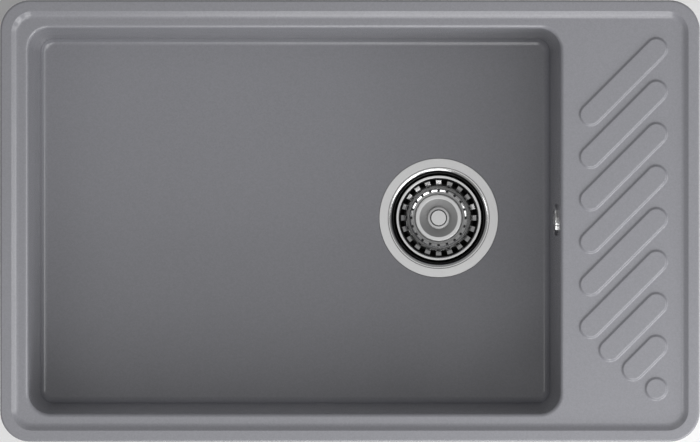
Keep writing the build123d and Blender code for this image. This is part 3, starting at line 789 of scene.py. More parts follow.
@dataclass(frozen=True)
class StoneFinish:
    """Cast mineral composite with a fine satin grain."""

    name: str = "satin_stone"
    dark: Colour = (0.220, 0.221, 0.241, 1.0)
    light: Colour = (0.247, 0.248, 0.269, 1.0)
    rubbed: Colour = (0.30, 0.30, 0.322, 1.0)
    roughness: Point = (0.20, 0.27)
    bump: float = 0.06
    relief: float = 0.05 * MM
    clouds: float = 24.0
    wear: float = 0.3
    wear_radius: float = 1.5 * MM
    refraction: float = 1.56

    def make(self, effects: Effects) -> bpy.types.Material:
        """Builds the material from the shared effects."""
        material, board, shader = new_material(self.name)
        grain = board.put("ShaderNodeGroup", node_tree=effects.speckle)
        tint = board.span(grain.outputs["Tint"], (0.25, 0.0), (0.75, 1.0))
        body = board.blend(tint, self.dark, self.light)
        wear = board.put("ShaderNodeGroup", {"Radius": self.wear_radius}, node_tree=effects.wear)
        share = board.math("MULTIPLY", wear.outputs["Mask"], self.wear)
        board.tree.links.new(board.blend(share, body, self.rubbed), shader.inputs["Base Color"])
        wires = {"Scale": self.clouds, "Low": self.roughness[0], "High": self.roughness[1]}
        clouds = board.put("ShaderNodeGroup", wires, node_tree=effects.smudge)
        board.tree.links.new(clouds.outputs["Value"], shader.inputs["Roughness"])
        wires = {"Height": grain.outputs["Height"], "Strength": self.bump, "Distance": self.relief}
        relief = board.put("ShaderNodeBump", wires)
        board.tree.links.new(relief.outputs["Normal"], shader.inputs["Normal"])
        shader.inputs["IOR"].default_value = self.refraction
        return material


@dataclass(frozen=True)
class PaintedShadeRing:
    """A ring of a turned piece whose colour is darkened to paint in shade and darker reflections."""

    inner: float
    outer: float
    tone: Colour


@dataclass(frozen=True)
class Satin:
    """A ring of a turned piece that was brushed rather than polished."""

    inner: float
    outer: float
    roughness: float = 0.36


@dataclass(frozen=True)
class MetalFinish:
    """A metal with turning lines or rolled skin, smudges, brighter worn edges and rings of painted shade."""

    name: str
    dark: Colour
    light: Colour
    edge: Colour
    roughness: Point
    lines: float = 3000.0
    bump: float = 0.06
    axis: tuple[float, float, float] = (0.0, 0.0, 0.0)
    clouds: float = 45.0
    gloss_clouds: float = 0.6
    relief: float = 0.02 * MM
    wear: float = 0.6
    wear_radius: float = 0.5 * MM
    satin_bands: tuple[Satin, ...] = ()
    painted_shade_rings: tuple[PaintedShadeRing, ...] = ()

    def mask(self, board: Board, effects: Effects, inner: float, outer: float) -> bpy.types.NodeSocket:
        """Gives the mask of one band of radius.

        Args:
            board: the material's board.
            effects: the shared effects.
            inner: where the band starts.
            outer: where it ends.

        Returns:
            The mask.
        """
        wires = {"Axis": self.axis, "Inner": inner, "Outer": outer, "Soft": BAND_SOFT}
        return board.put("ShaderNodeGroup", wires, node_tree=effects.band).outputs["Mask"]

    def make(self, effects: Effects) -> bpy.types.Material:
        """Builds the material from the shared effects."""
        material, board, shader = new_material(self.name)
        wires = {"Axis": self.axis, "Lines": self.lines}
        lathe = board.put("ShaderNodeGroup", wires, node_tree=effects.lathe)
        wires = {"Scale": self.clouds, "Low": 0.0, "High": 1.0}
        patch = board.put("ShaderNodeGroup", wires, node_tree=effects.smudge)
        tint = board.weigh((lathe.outputs["Tint"], 0.45), (patch.outputs["Value"], 0.55))
        body = board.blend(tint, self.dark, self.light)
        wear = board.put("ShaderNodeGroup", {"Radius": self.wear_radius}, node_tree=effects.wear)
        share = board.math("MULTIPLY", wear.outputs["Mask"], self.wear)
        colour = board.blend(share, body, self.edge)
        # Rings of painted shade and painted darker reflection are mixed into the colour by radius.
        for band in self.painted_shade_rings:
            colour = board.blend(self.mask(board, effects, band.inner, band.outer), colour, band.tone)
        board.tree.links.new(colour, shader.inputs["Base Color"])
        scale = self.clouds * self.gloss_clouds
        wires = {"Scale": scale, "Low": self.roughness[0], "High": self.roughness[1]}
        gloss = board.put("ShaderNodeGroup", wires, node_tree=effects.smudge).outputs["Value"]
        for band in self.satin_bands:
            rise = band.roughness - sum(self.roughness) / 2
            mask = self.mask(board, effects, band.inner, band.outer)
            gloss = board.math("ADD", gloss, board.math("MULTIPLY", mask, rise))
        board.tree.links.new(gloss, shader.inputs["Roughness"])
        wires = {"Height": lathe.outputs["Height"], "Strength": self.bump, "Distance": self.relief}
        relief = board.put("ShaderNodeBump", wires)
        board.tree.links.new(relief.outputs["Normal"], shader.inputs["Normal"])
        shader.inputs["Metallic"].default_value = 1.0
        return material


@dataclass(frozen=True)
class MouldedFinish:
    """A moulded plastic, rubber or foam with a skin of its own."""

    name: str
    dark: Colour
    light: Colour
    rubbed: Colour
    roughness: Point
    grain: float = 2600.0
    bump: float = 0.15
    relief: float = 0.05 * MM
    clouds: float = 40.0
    wear: float = 0.35
    wear_radius: float = 0.6 * MM

    def make(self, effects: Effects) -> bpy.types.Material:
        """Builds the material from the shared effects."""
        material, board, shader = new_material(self.name)
        skin = board.put("ShaderNodeGroup", {"Grain": self.grain}, node_tree=effects.mould)
        tint = board.span(skin.outputs["Tint"], (0.3, 0.0), (0.7, 1.0))
        body = board.blend(tint, self.dark, self.light)
        wear = board.put("ShaderNodeGroup", {"Radius": self.wear_radius}, node_tree=effects.wear)
        share = board.math("MULTIPLY", wear.outputs["Mask"], self.wear)
        board.tree.links.new(board.blend(share, body, self.rubbed), shader.inputs["Base Color"])
        wires = {"Scale": self.clouds, "Low": self.roughness[0], "High": self.roughness[1]}
        gloss = board.put("ShaderNodeGroup", wires, node_tree=effects.smudge)
        board.tree.links.new(gloss.outputs["Value"], shader.inputs["Roughness"])
        wires = {"Height": skin.outputs["Height"], "Strength": self.bump, "Distance": self.relief}
        bump = board.put("ShaderNodeBump", wires)
        board.tree.links.new(bump.outputs["Normal"], shader.inputs["Normal"])
        return material


def grey(value: float) -> Colour:
    """Gives a neutral grey."""
    return (value, value, value, 1.0)


class Palette:
    """The sink's finishes."""

    def __init__(self, waste_axis: Vector) -> None:
        """Builds every material.

        Args:
            waste_axis: the upright axis on which the steel of the waste was turned.
        """
        effects = Effects()
        axis = (waste_axis.x, waste_axis.y, 0.0)
        self.stone = StoneFinish().make(effects)
        self.cup_steel = MetalFinish(
            "cup_steel", grey(0.61), grey(0.67), grey(0.74), (0.12, 0.20),
            lines=2400.0, bump=0.06, axis=axis,
            satin_bands=(Satin(0.0, 34.0 * MM, 0.55), Satin(49.2 * MM, 60.0 * MM)),
            # Painted shade: the cup floor under the basket, the black neck ring and the dark line in the
            # lip's crease.
            painted_shade_rings=(PaintedShadeRing(0.0, 42.9 * MM, grey(0.2)), PaintedShadeRing(42.9 * MM, 45.8 * MM, grey(0.06)),
                         PaintedShadeRing(48.9 * MM, 49.4 * MM, grey(0.15))),
        ).make(effects)
        self.basket_steel = MetalFinish(
            "basket_steel", grey(0.61), grey(0.68), grey(0.76), (0.10, 0.17),
            lines=2400.0, bump=0.05, axis=axis,
            satin_bands=(Satin(0.0, 10.8 * MM), Satin(10.8 * MM, 18.6 * MM, 0.62),
                         Satin(18.6 * MM, 22.5 * MM), Satin(22.5 * MM, 25.8 * MM, 0.60),
                         Satin(38.9 * MM, 42.0 * MM)),
            # Painted darker reflection on the dish and the gutter, and a ring of painted shade at the collar.
            painted_shade_rings=(PaintedShadeRing(10.8 * MM, 18.6 * MM, grey(0.50)), PaintedShadeRing(22.6 * MM, 25.7 * MM, grey(0.40)),
                         PaintedShadeRing(36.5 * MM, 38.6 * MM, grey(0.06))),
        ).make(effects)
        self.knob_steel = MetalFinish(
            "knob_steel", grey(0.61), grey(0.67), grey(0.74), (0.14, 0.22),
            lines=2400.0, bump=0.06, axis=axis,
            satin_bands=(Satin(0.0, 7.1 * MM),),
            # Painted dark reflection on the knob's sloped edge, between its flat top and its rim.
            painted_shade_rings=(PaintedShadeRing(7.25 * MM, 8.3 * MM, grey(0.07)),),
        ).make(effects)
        self.plain_steel = MetalFinish(
            "plain_steel", grey(0.48), grey(0.58), grey(0.68), (0.28, 0.42), lines=1500.0, bump=0.12,
        ).make(effects)
        self.chrome = MetalFinish(
            "bright_chrome", grey(0.56), grey(0.62), grey(0.70), (0.08, 0.16), lines=900.0, bump=0.02,
        ).make(effects)
        self.zinc = MetalFinish(
            "zinc_plate", (0.44, 0.46, 0.50, 1), (0.58, 0.59, 0.60, 1), grey(0.7), (0.32, 0.50),
            lines=700.0, bump=0.15, clouds=160.0,
        ).make(effects)
        self.brass = MetalFinish(
            "turned_brass", (0.58, 0.40, 0.16, 1), (0.72, 0.54, 0.26, 1), (0.84, 0.68, 0.40, 1),
            (0.22, 0.36), lines=2600.0, bump=0.12,
        ).make(effects)
        self.rubber = MouldedFinish(
            "seal_rubber", grey(0.012), grey(0.024), grey(0.05), (0.62, 0.80), grain=1500.0, bump=0.25,
        ).make(effects)
        self.foam = MouldedFinish(
            "cell_foam", grey(0.03), grey(0.06), grey(0.09), (0.80, 0.95),
            grain=700.0, bump=0.7, relief=0.3 * MM, wear=0.2,
        ).make(effects)
        self.white_plastic = MouldedFinish(
            "white_plastic", (0.70, 0.70, 0.68, 1), (0.80, 0.80, 0.78, 1), grey(0.86), (0.34, 0.48),
        ).make(effects)
        self.black_plastic = MouldedFinish(
            "black_plastic", grey(0.018), grey(0.034), grey(0.07), (0.36, 0.52),
        ).make(effects)
        self.hose_plastic = MouldedFinish(
            "hose_plastic", grey(0.50), grey(0.62), grey(0.70), (0.42, 0.58), grain=1800.0, bump=0.2,
        ).make(effects)


class Fitter:
    """Hands finished pieces to the frame and reports them."""

    def __init__(self, nodes: Mapping[str, bpy.types.Object]) -> None:
        """Keeps the frame's own nodes."""
        self.nodes = nodes

    def fit(
        self, piece: bpy.types.Object, material: bpy.types.Material, body: str, slot: str, *stands_for: str
    ) -> None:
        """Dresses a new piece and puts it on its body.

        Args:
            piece: the finished object.
            material: what it is made of.
            body: the body that it moves with.
            slot: not used.
            stands_for: the nodes that it replaces.
        """
        piece.data.materials.clear()
        piece.data.materials.append(material)
        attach(piece, body)
        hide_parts(*stands_for)
        log.info("%s rides on %s with %d faces", piece.name, body, len(piece.data.polygons))

    def dress(self, node: str, material: bpy.types.Material) -> None:
        """Gives a node of the frame a finish and leaves its mesh as it is."""
        for slot in self.nodes[node].material_slots:
            slot.material = material
        log.info("%s keeps its own mesh in %s", node, material.name)


# The sink's sub-assemblies


def middle_of(node: str) -> Vector:
    """Middle of a node's box."""
    low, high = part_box(node)
    return (low + high) / 2


def upright(axis: Vector) -> Matrix:
    """Gives the place on an upright axis at height zero."""
    return Matrix.Translation((axis.x, axis.y, 0))


def aimed(spot: Vector, way: Vector) -> Matrix:
    """Gives the place at a spot where local Z looks along a way."""
    return Matrix.Translation(spot) @ way.to_track_quat("Z", "Y").to_matrix().to_4x4()


@dataclass
class Basin:
    """The cast basin: raised rim, deck with drying ribs, bowl and clip pads."""

    corner: float = 29.0 * MM
    rim_land: float = 10.7 * MM
    rim_round: float = 2.0 * MM
    seat_edge: float = 0.4 * MM
    step_corner: float = 20.0 * MM
    step_run: float = 5.2 * MM
    step_drop: float = 4.5 * MM
    step_cove: float = 7.0 * MM
    step_lip: float = 0.9 * MM
    deck_thickness: float = 8.0 * MM
    slab_inset: float = 13.0 * MM
    bowl_margin: float = 26.75 * MM
    drainer_width: float = 133.2 * MM
    bowl_depth: float = 185.0 * MM
    bowl_corner: float = 20.5 * MM
    bowl_draft: float = BOWL_DRAFT
    bowl_wall: float = 9.0 * MM
    bowl_floor: float = 10.0 * MM
    mouth_round: float = 4.0 * MM
    floor_round: float = 7.0 * MM
    under_round: float = 14.0 * MM
    groove_inset: float = 3.0 * MM
    groove_width: float = 5.0 * MM
    groove_depth: float = 2.0 * MM
    recess_radius: float = 58.2 * MM
    recess_depth: float = 1.5 * MM
    hole_radius: float = 45.2 * MM
    hole_round: float = 3.6 * MM
    rib_width: float = 22.3 * MM
    rib_height: float = 2.0 * MM
    rib_top: float = 1.2 * MM
    rib_foot: float = 1.5 * MM
    rib_pitch: float = 40.72 * MM
    rib_end_inset: float = 41.6 * MM
    rib_front_inset: float = 50.8 * MM
    rib_back_inset: float = 45.0 * MM
    rib_bowl_gap: float = 28.6 * MM
    rib_run_step: float = 22.2 * MM
    overflow_radius: float = 12.5 * MM
    pad_size: float = 26.0 * MM
    pad_bite: float = 6.7 * MM
    lug_depth: float = 14.0 * MM
    web_thickness: float = 8.0 * MM
    web_height: float = 16.0 * MM
    insert_radius: float = 3.6 * MM
    insert_depth: float = 9.0 * MM
    pad_edge: float = 1.5 * MM
    pad_root: float = 1.0 * MM
    weld: float = 0.01 * MM
    corner_steps: int = 12
    bend_steps: int = 8
    rib_steps: int = 10
    rib_bend_steps: int = 4
    insert_steps: int = 32
    overflow_steps: int = 48

    def __post_init__(self) -> None:
        """Takes the outline and the place of the waste from the frame."""
        low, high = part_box("sink_basin")
        self.length = high.x - low.x
        self.width = high.y - low.y
        self.top = high.z
        self.deck = self.top - self.step_drop
        self.slab_under = self.deck - self.deck_thickness
        self.floor = self.deck - self.bowl_depth
        self.under = self.floor - self.bowl_floor
        self.slope = math.tan(self.bowl_draft)
        self.bowl_length = self.length - self.bowl_margin - self.drainer_width
        self.bowl_width = self.width - 2 * self.bowl_margin
        self.bowl_x = (self.bowl_margin - self.drainer_width) / 2
        self.waste = middle_of("waste_cup")

    def outline(self, inset: float, height: float, corner: float) -> Slab:
        """Gives a loop parallel to the sink's outline."""
        return Slab(self.length - 2 * inset, self.width - 2 * inset, corner, (0.0, 0.0, height))

    def bowl_loop(self, inset: float, height: float) -> Slab:
        """Gives a loop parallel to the bowl's mouth."""
        size = (self.bowl_length - 2 * inset, self.bowl_width - 2 * inset)
        return Slab(*size, self.bowl_corner - inset, (self.bowl_x, 0.0, height))

    def rim_loops(self) -> list[Slab]:
        """Lists the rim's outlines from the slab's underside over the top down to the deck."""
        inner = self.groove_inset + self.groove_width
        under = [
            (self.slab_inset, self.slab_under), (self.slab_inset, 0.0),
            (inner, 0.0), (inner, self.groove_depth),
            (self.groove_inset, self.groove_depth), (self.groove_inset, 0.0),
        ]
        loops = [self.outline(inset, height, self.corner - inset) for inset, height in under]
        foot = self.rim_land + self.step_run
        shape = [
            (self.groove_inset, 0.0), (0.0, 0.0), (0.0, self.top), (self.rim_land, self.top),
            (foot, self.deck), (foot + self.bowl_margin, self.deck),
        ]
        bends = [self.seat_edge, self.rim_round, self.step_lip, self.step_cove]
        for inset, height in rounded(shape, bends)[1:-1]:
            share = min(max((inset - self.rim_round) / (self.rim_land - self.rim_round), 0.0), 1.0)
            extra = share * (self.step_corner - (self.corner - self.rim_land))
            loops.append(self.outline(inset, height, self.corner - inset + extra))
        return loops

    def rib_feet(self, bench: LoopBench) -> list[Loop]:
        """Models the drying ribs and returns the loops of their feet."""
        half = self.rib_width / 2
        high = self.rib_height
        shape = [(2 * half, 0.0), (half, 0.0), (half - high, high), (0.0, high)]
        profile = rounded(shape, [self.rib_foot, self.rib_top], self.rib_bend_steps)[1:-1]
        full = self.drainer_width - self.rib_end_inset - self.rib_bowl_gap
        end_x = self.length / 2 - self.rib_end_inset
        front_y = self.rib_front_inset - self.width / 2
        count = 1 + int((self.width - self.rib_front_inset - self.rib_back_inset) / self.rib_pitch)
        feet: list[Loop] = []
        for number in range(count):
            run = min(number * self.rib_run_step, full)
            middle = (end_x - run / 2, front_y + number * self.rib_pitch - run / 2)
            long = run * math.sqrt(2)
            slabs = [
                Slab(long + 2 * wide, 2 * wide, wide, (*middle, self.deck + height), math.pi / 4)
                for wide, height in profile
            ]
            foot, top = bench.sleeve(slabs, self.rib_steps)
            bench.cap(top)
            feet.append(foot)
        return feet

    def bowl_loops(self) -> list[Slab]:
        """Lists the outlines of the bowl's inside from the deck down to the floor."""
        foot = self.bowl_depth * self.slope
        shape = [
            (-self.bowl_margin, self.deck), (0.0, self.deck), (foot, self.floor),
            (foot + RUN_OUT * self.floor_round, self.floor),
        ]
        profile = rounded(shape, [self.mouth_round, self.floor_round], self.bend_steps)[1:-1]
        return [self.bowl_loop(inset, height) for inset, height in profile]

    def shell_loops(self) -> list[Slab]:
        """Lists the outlines of the bowl's outside from the slab's underside down to its floor."""
        foot = (self.deck - self.under) * self.slope
        start = (self.deck - self.slab_under) * self.slope
        shape = [
            (start - self.bowl_wall, self.slab_under), (foot - self.bowl_wall, self.under),
            (foot - self.bowl_wall + RUN_OUT * self.under_round, self.under),
        ]
        profile = rounded(shape, [self.under_round], self.bend_steps)[:-1]
        return [self.bowl_loop(inset, height) for inset, height in profile]

    def drain_profile(self) -> list[Point]:
        """Gives the flange recess and the waste hole as radius and height."""
        low = self.floor - self.recess_depth
        shape = [
            (self.recess_radius, self.floor), (self.recess_radius, low), (self.hole_radius, low),
            (self.hole_radius, self.under),
        ]
        return rounded(shape, [0.0, self.hole_round])

    def build(self) -> bpy.types.Object:
        """Models the whole casting and returns it."""
        bench = LoopBench("basin_casting")
        slab_foot, deck_edge = bench.sleeve(self.rim_loops(), self.corner_steps)
        mouth, floor_edge = bench.sleeve(self.bowl_loops(), self.corner_steps)
        shell_top, shell_foot = bench.sleeve(self.shell_loops(), self.corner_steps)
        recess, hole = bench.bush(self.drain_profile(), (self.waste.x, self.waste.y))
        bench.fill(slab_foot, shell_top)
        bench.fill(deck_edge, mouth, *self.rib_feet(bench))
        bench.fill(floor_edge, recess)
        bench.fill(shell_foot, hole)
        casting = bench.finish()
        self.add_pads(casting)
        self.cut_overflow(casting)
        open_bench(casting)
        close_bench(self.weld)
        shade(casting, SHARP_CAST)
        return casting

    def add_pads(self, casting: bpy.types.Object) -> None:
        """Welds on the clip pads, the drainer's lugs and webs, and cuts the insert holes."""
        blocks: list[bpy.types.Object] = []
        holes: list[bpy.types.Object] = []
        for seat in ClipSeat.all():
            half = self.pad_size / 2
            low = Vector((-half, -self.pad_bite, seat.screw_height - half))
            high = Vector((half, 0.0, seat.screw_height + half))
            if seat.side is Side.RIGHT:
                low.y = -self.lug_depth
                high.z = self.slab_under + self.pad_root
                reach = self.drainer_width - (self.length / 2 - seat.face) - self.bowl_wall / 2
                web_low = Vector((-self.web_thickness / 2, -reach, self.slab_under - self.web_height))
                web_high = Vector((self.web_thickness / 2, -half / 2, self.slab_under + self.pad_root))
                combine(casting, settle(block("web", web_low, web_high), seat.place()), Cut.WELD)
            pad = block("pad", low, high)
            work(pad, "BEVEL", width=self.pad_edge, segments=3, limit_method="ANGLE")
            blocks.append(settle(pad, seat.place()))
            deep = self.insert_depth
            hole = rod("insert_hole", self.insert_radius, deep, -deep / 2, self.insert_steps)
            into = Matrix.Translation((0, 0, seat.screw_height)) @ Matrix.Rotation(math.pi / 2, 4, "X")
            holes.append(settle(hole, seat.place() @ into))
        combine(casting, join(blocks), Cut.WELD)
        combine(casting, join(holes), Cut.TAKE)

    def cut_overflow(self, casting: bpy.types.Object) -> None:
        """Cuts the overflow's hole through the bowl's right wall."""
        reach = 2 * self.bowl_wall
        hole = rod("overflow_hole", self.overflow_radius, reach, -reach, self.overflow_steps)
        combine(casting, settle(hole, overflow_place()), Cut.TAKE)


class Side(Enum):
    """The four sides of the sink, each with its outward angle about Z."""

    LEFT = math.pi
    RIGHT = 0.0
    FRONT = -math.pi / 2
    BACK = math.pi / 2


@dataclass(frozen=True)
class ClipSeat:
    """Where one worktop clip is screwed on: its side, the pad's face and the screw's height."""

    node: str
    side: Side
    face: float
    along: float
    screw_height: float

    @classmethod
    def read(cls, node: str) -> "ClipSeat":
        """Reads a clip's seat from its node in the frame.

        Args:
            node: the clip's node.

        Returns:
            The seat.
        """
        side = Side[node.split("_")[1].upper()]
        low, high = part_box(node)
        faces = {Side.LEFT: -high.x, Side.RIGHT: low.x, Side.FRONT: -high.y, Side.BACK: low.y}
        level = side in (Side.LEFT, Side.RIGHT)
        along = (low.y + high.y) / 2 if level else (low.x + high.x) / 2
        return cls(node, side, faces[side], along, high.z - CLIP_SCREW_DROP)

    @classmethod
    def all(cls) -> list["ClipSeat"]:
        """Lists the seats of all the clips in the frame."""
        names = [name for name in frame["nodes"] if name.startswith("clip_") and name.count("_") == 2]
        return [cls.read(name) for name in sorted(names)]

    def place(self) -> Matrix:
        """Gives the place where local +Y looks out of the pad's face and local Z is up."""
        turn = self.side.value
        out = Vector((math.cos(turn), math.sin(turn), 0.0))
        level = self.side in (Side.LEFT, Side.RIGHT)
        foot = out * self.face + (Vector((0, self.along, 0)) if level else Vector((self.along, 0, 0)))
        return Matrix.Translation(foot) @ Matrix.Rotation(turn - math.pi / 2, 4, "Z")


def overflow_place() -> Matrix:
    """Gives the place on the bowl's right wall where local Z looks into the bowl."""
    plate_low, plate_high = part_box("overflow_rosette")
    normal = Vector((-math.cos(BOWL_DRAFT), 0, math.sin(BOWL_DRAFT)))
    radius = (plate_high.y - plate_low.y) / 2
    foot = Vector((plate_high.x - radius * math.sin(BOWL_DRAFT), (plate_low.y + plate_high.y) / 2, 0.0))
    foot.z = (plate_low.z + plate_high.z) / 2 - normal.z * OVERFLOW_PLATE_HEIGHT / 2
    return aimed(foot, normal)


@dataclass
class WasteFitting:
    """The pressed cup in the bowl's floor and the moulded housing below it."""

    flange: float = 57.9 * MM
    mouth: float = 43.4 * MM
    neck_drop: float = 16.0 * MM
    floor_radius: float = 34.0 * MM
    depth: float = 42.0 * MM
    lip: float = 5.6 * MM
    crease_drop: float = 0.35 * MM
    bend: float = 5.0 * MM
    sheet: float = 1.0 * MM
    bolt_hole: float = 5.3 * MM
    flange_edge: float = 0.3 * MM
    flange_bend: float = 0.25 * MM
    crease_run: Point = (0.5 * MM, 0.1 * MM)
    crease_bend: float = 0.2 * MM
    lip_slack: float = 0.3 * MM
    bend_steps: int = 10
    round_steps: int = 192
    ports: HoleRing = HoleRing(6, 5.5 * MM, 18.0 * MM, 40)

    def __post_init__(self) -> None:
        """Takes the axis and the height from the frame."""
        self.axis = middle_of("waste_cup")
        self.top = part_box("waste_cup")[1].z

    def build_cup(self) -> bpy.types.Object:
        """Presses the cup from one sheet, punches its ports and returns it."""
        top = self.top
        low = top - self.depth
        dip = top - self.crease_drop
        crease = self.mouth + self.lip
        corners = [
            (self.flange, top - self.flange_edge), (self.flange - self.flange_edge, top),
            (crease + self.crease_run[0], top), (crease + self.crease_run[1], dip), (self.mouth, dip),
            (self.mouth, top - self.neck_drop), (self.floor_radius, low), (self.bolt_hole, low),
        ]
        bends = [
            self.flange_bend, self.crease_bend, 0.0, self.lip - self.lip_slack, self.bend, self.bend,
        ]
        cup = turned("cup_pressing", rounded(corners, bends, self.bend_steps), self.round_steps)
        sheet_up(cup)
        work(cup, "SOLIDIFY", thickness=self.sheet, offset=-1.0)
        self.ports.drill(cup, low, RUN_OUT * self.sheet, RUN_OUT * self.sheet)
        settle(cup, upright(self.axis))
        shade(cup, SHARP_TURNED)
        return cup

    def dress(self, fitter: Fitter, palette: Palette) -> None:
        """Makes the cup and the housing and dresses the rest of the fitting."""
        fitter.fit(self.build_cup(), palette.cup_steel, "sink", "polished_steel", "waste_cup")
        fitter.fit(WasteHousing().build(), palette.white_plastic, "sink", "plastic_white", "waste_housing")
        for node in ("cup_gasket", "housing_gasket"):
            fitter.dress(node, palette.rubber)
        fitter.dress("waste_bolt", palette.plain_steel)
        fitter.dress("bolt_insert", palette.brass)


@dataclass
class WasteHousing:
    """The moulded housing under the bowl: seat, chamber, funnel, threaded tail and overflow inlet."""

    seat: Point = (46.2 * MM, 55.2 * MM)
    seat_flange: float = 5.5 * MM
    neck_drop: float = 6.5 * MM
    chamber: float = 38.0 * MM
    chamber_drop: float = 25.5 * MM
    funnel_drop: float = 52.5 * MM
    tail_drop: float = 61.5 * MM
    wall: float = 3.0 * MM
    tail: float = 23.9 * MM
    bore: float = 20.4 * MM
    collar: float = 5.5 * MM
    thread_pitch: float = 2.8 * MM
    thread_depth: float = 1.3 * MM
    thread_turns: int = 8
    thread_start: float = math.radians(34.3)
    inlet: float = 13.0 * MM
    inlet_socket: Point = (10.3 * MM, 14.0 * MM)
    inlet_bore: float = 8.2 * MM
    inlet_past_nut: float = 2.8 * MM
    boss: float = 10.5 * MM
    boss_drop: float = 45.5 * MM
    boss_height: float = 18.0 * MM
    boss_hole: float = 5.2 * MM
    boss_pocket: Point = (7.5 * MM, 14.0 * MM)
    web: float = 3.0 * MM
    web_height: float = 9.0 * MM
    webs: int = 3
    edge: float = 0.5 * MM
    soft: float = 1.0 * MM
    wide: float = 3.0 * MM
    inlet_edge: float = 0.6 * MM
    thread_root: float = 1.25
    bend_steps: int = 4
    shell_steps: int = 96
    boss_steps: int = 48
    inlet_steps: int = 64

    def __post_init__(self) -> None:
        """Takes the axis and the heights from the frame."""
        low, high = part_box("waste_housing")
        self.axis = middle_of("waste_cup")
        self.top = high.z
        self.end = low.z
        nut = middle_of("hose_nut_lower")
        self.ahead = Vector((nut.x - self.axis.x, nut.y - self.axis.y, 0.0)).normalized()
        self.mouth = nut + self.ahead * self.inlet_past_nut

    def turn_shell(self) -> bpy.types.Object:
        """Turns the wall of seat, chamber, funnel and tail and returns it."""
        top = self.top
        wall = self.wall
        outer = self.chamber + wall
        shoulder = top - self.tail_drop - wall / 2
        collar_foot = shoulder - self.collar
        core = self.tail - self.thread_depth
        corners = [
            (self.seat[0], top), (self.seat[1], top), (self.seat[1], top - self.seat_flange),
            (self.seat[0] + wall, top - self.neck_drop), (outer, top - self.chamber_drop),
            (outer, top - self.funnel_drop - wall / 2), (self.tail + wall, shoulder), (self.tail, shoulder),
            (self.tail, collar_foot), (core, collar_foot - self.thread_depth), (core, self.end),
            (self.bore, self.end), (self.bore, top - self.tail_drop),
            (self.chamber, top - self.funnel_drop), (self.chamber, top - self.chamber_drop),
            (self.seat[0], top - self.neck_drop), (self.seat[0], top),
        ]
        edge, soft, wide = self.edge, self.soft, self.wide
        bends = [edge, soft, wide, wide, wide, soft, edge, edge, 0, edge, edge, wide, wide, wide, soft]
        profile = rounded(corners, bends, self.bend_steps)
        return turned("housing_moulding", profile[:-1], self.shell_steps, closed=True)

    def make_boss(self) -> bpy.types.Object:
        """Turns the boss for the brass insert, welds on its webs and returns it."""
        crown = self.top - self.boss_drop
        foot = crown - self.boss_height
        gap = (self.boss_height - self.boss_pocket[1]) / 2
        pocket = self.boss_pocket[0]
        hole = self.boss_hole
        shape = [
            (hole, crown), (self.boss, crown), (self.boss, foot), (hole, foot),
            (hole, foot + gap), (pocket, foot + gap), (pocket, crown - gap), (hole, crown - gap),
        ]
        boss = turned("boss", shape, self.boss_steps, closed=True)
        half = self.web / 2
        for number in range(self.webs):
            low = Vector((self.boss - half, -half, crown - self.web_height))
            high = Vector((self.chamber + half, half, crown))
            turn = Matrix.Rotation(math.pi + 2 * math.pi * number / self.webs, 4, "Z")
            combine(boss, settle(block("web", low, high), turn), Cut.WELD)
        return boss

    def build(self) -> bpy.types.Object:
        """Turns the housing, welds on boss, inlet and thread and returns it."""
        housing = self.turn_shell()
        combine(housing, self.make_boss(), Cut.WELD)
        place = upright(self.axis)
        settle(housing, place)
        self.add_inlet(housing)
        root = self.tail - self.thread_root * self.thread_depth
        low = self.end + self.thread_pitch
        ridge = thread_ridge(root, self.tail, self.thread_pitch, low, self.thread_turns)
        combine(housing, settle(ridge, place @ Matrix.Rotation(self.thread_start, 4, "Z")), Cut.WELD)
        shade(housing, SHARP_FORMED)
        return housing

    def add_inlet(self, housing: bpy.types.Object) -> None:
        """Welds the overflow's inlet to the chamber and bores it."""
        place = aimed(self.mouth, self.ahead)
        reach = (self.mouth - self.axis).xy.length - self.chamber
        edge = self.inlet_edge
        root = self.wall / 2 - reach
        stub = [(0.0, 0.0), (self.inlet - edge, 0.0), (self.inlet, -edge), (self.inlet, root), (0.0, root)]
        combine(housing, settle(turned("inlet", stub, self.inlet_steps), place), Cut.WELD)
        radius, depth = self.inlet_socket
        end = -reach - self.wall
        bore = [
            (0.0, edge), (radius, edge), (radius, -depth), (self.inlet_bore, -depth), (self.inlet_bore, end),
            (0.0, end),
        ]
        combine(housing, settle(turned("inlet_bore", bore, self.inlet_steps), place), Cut.TAKE)


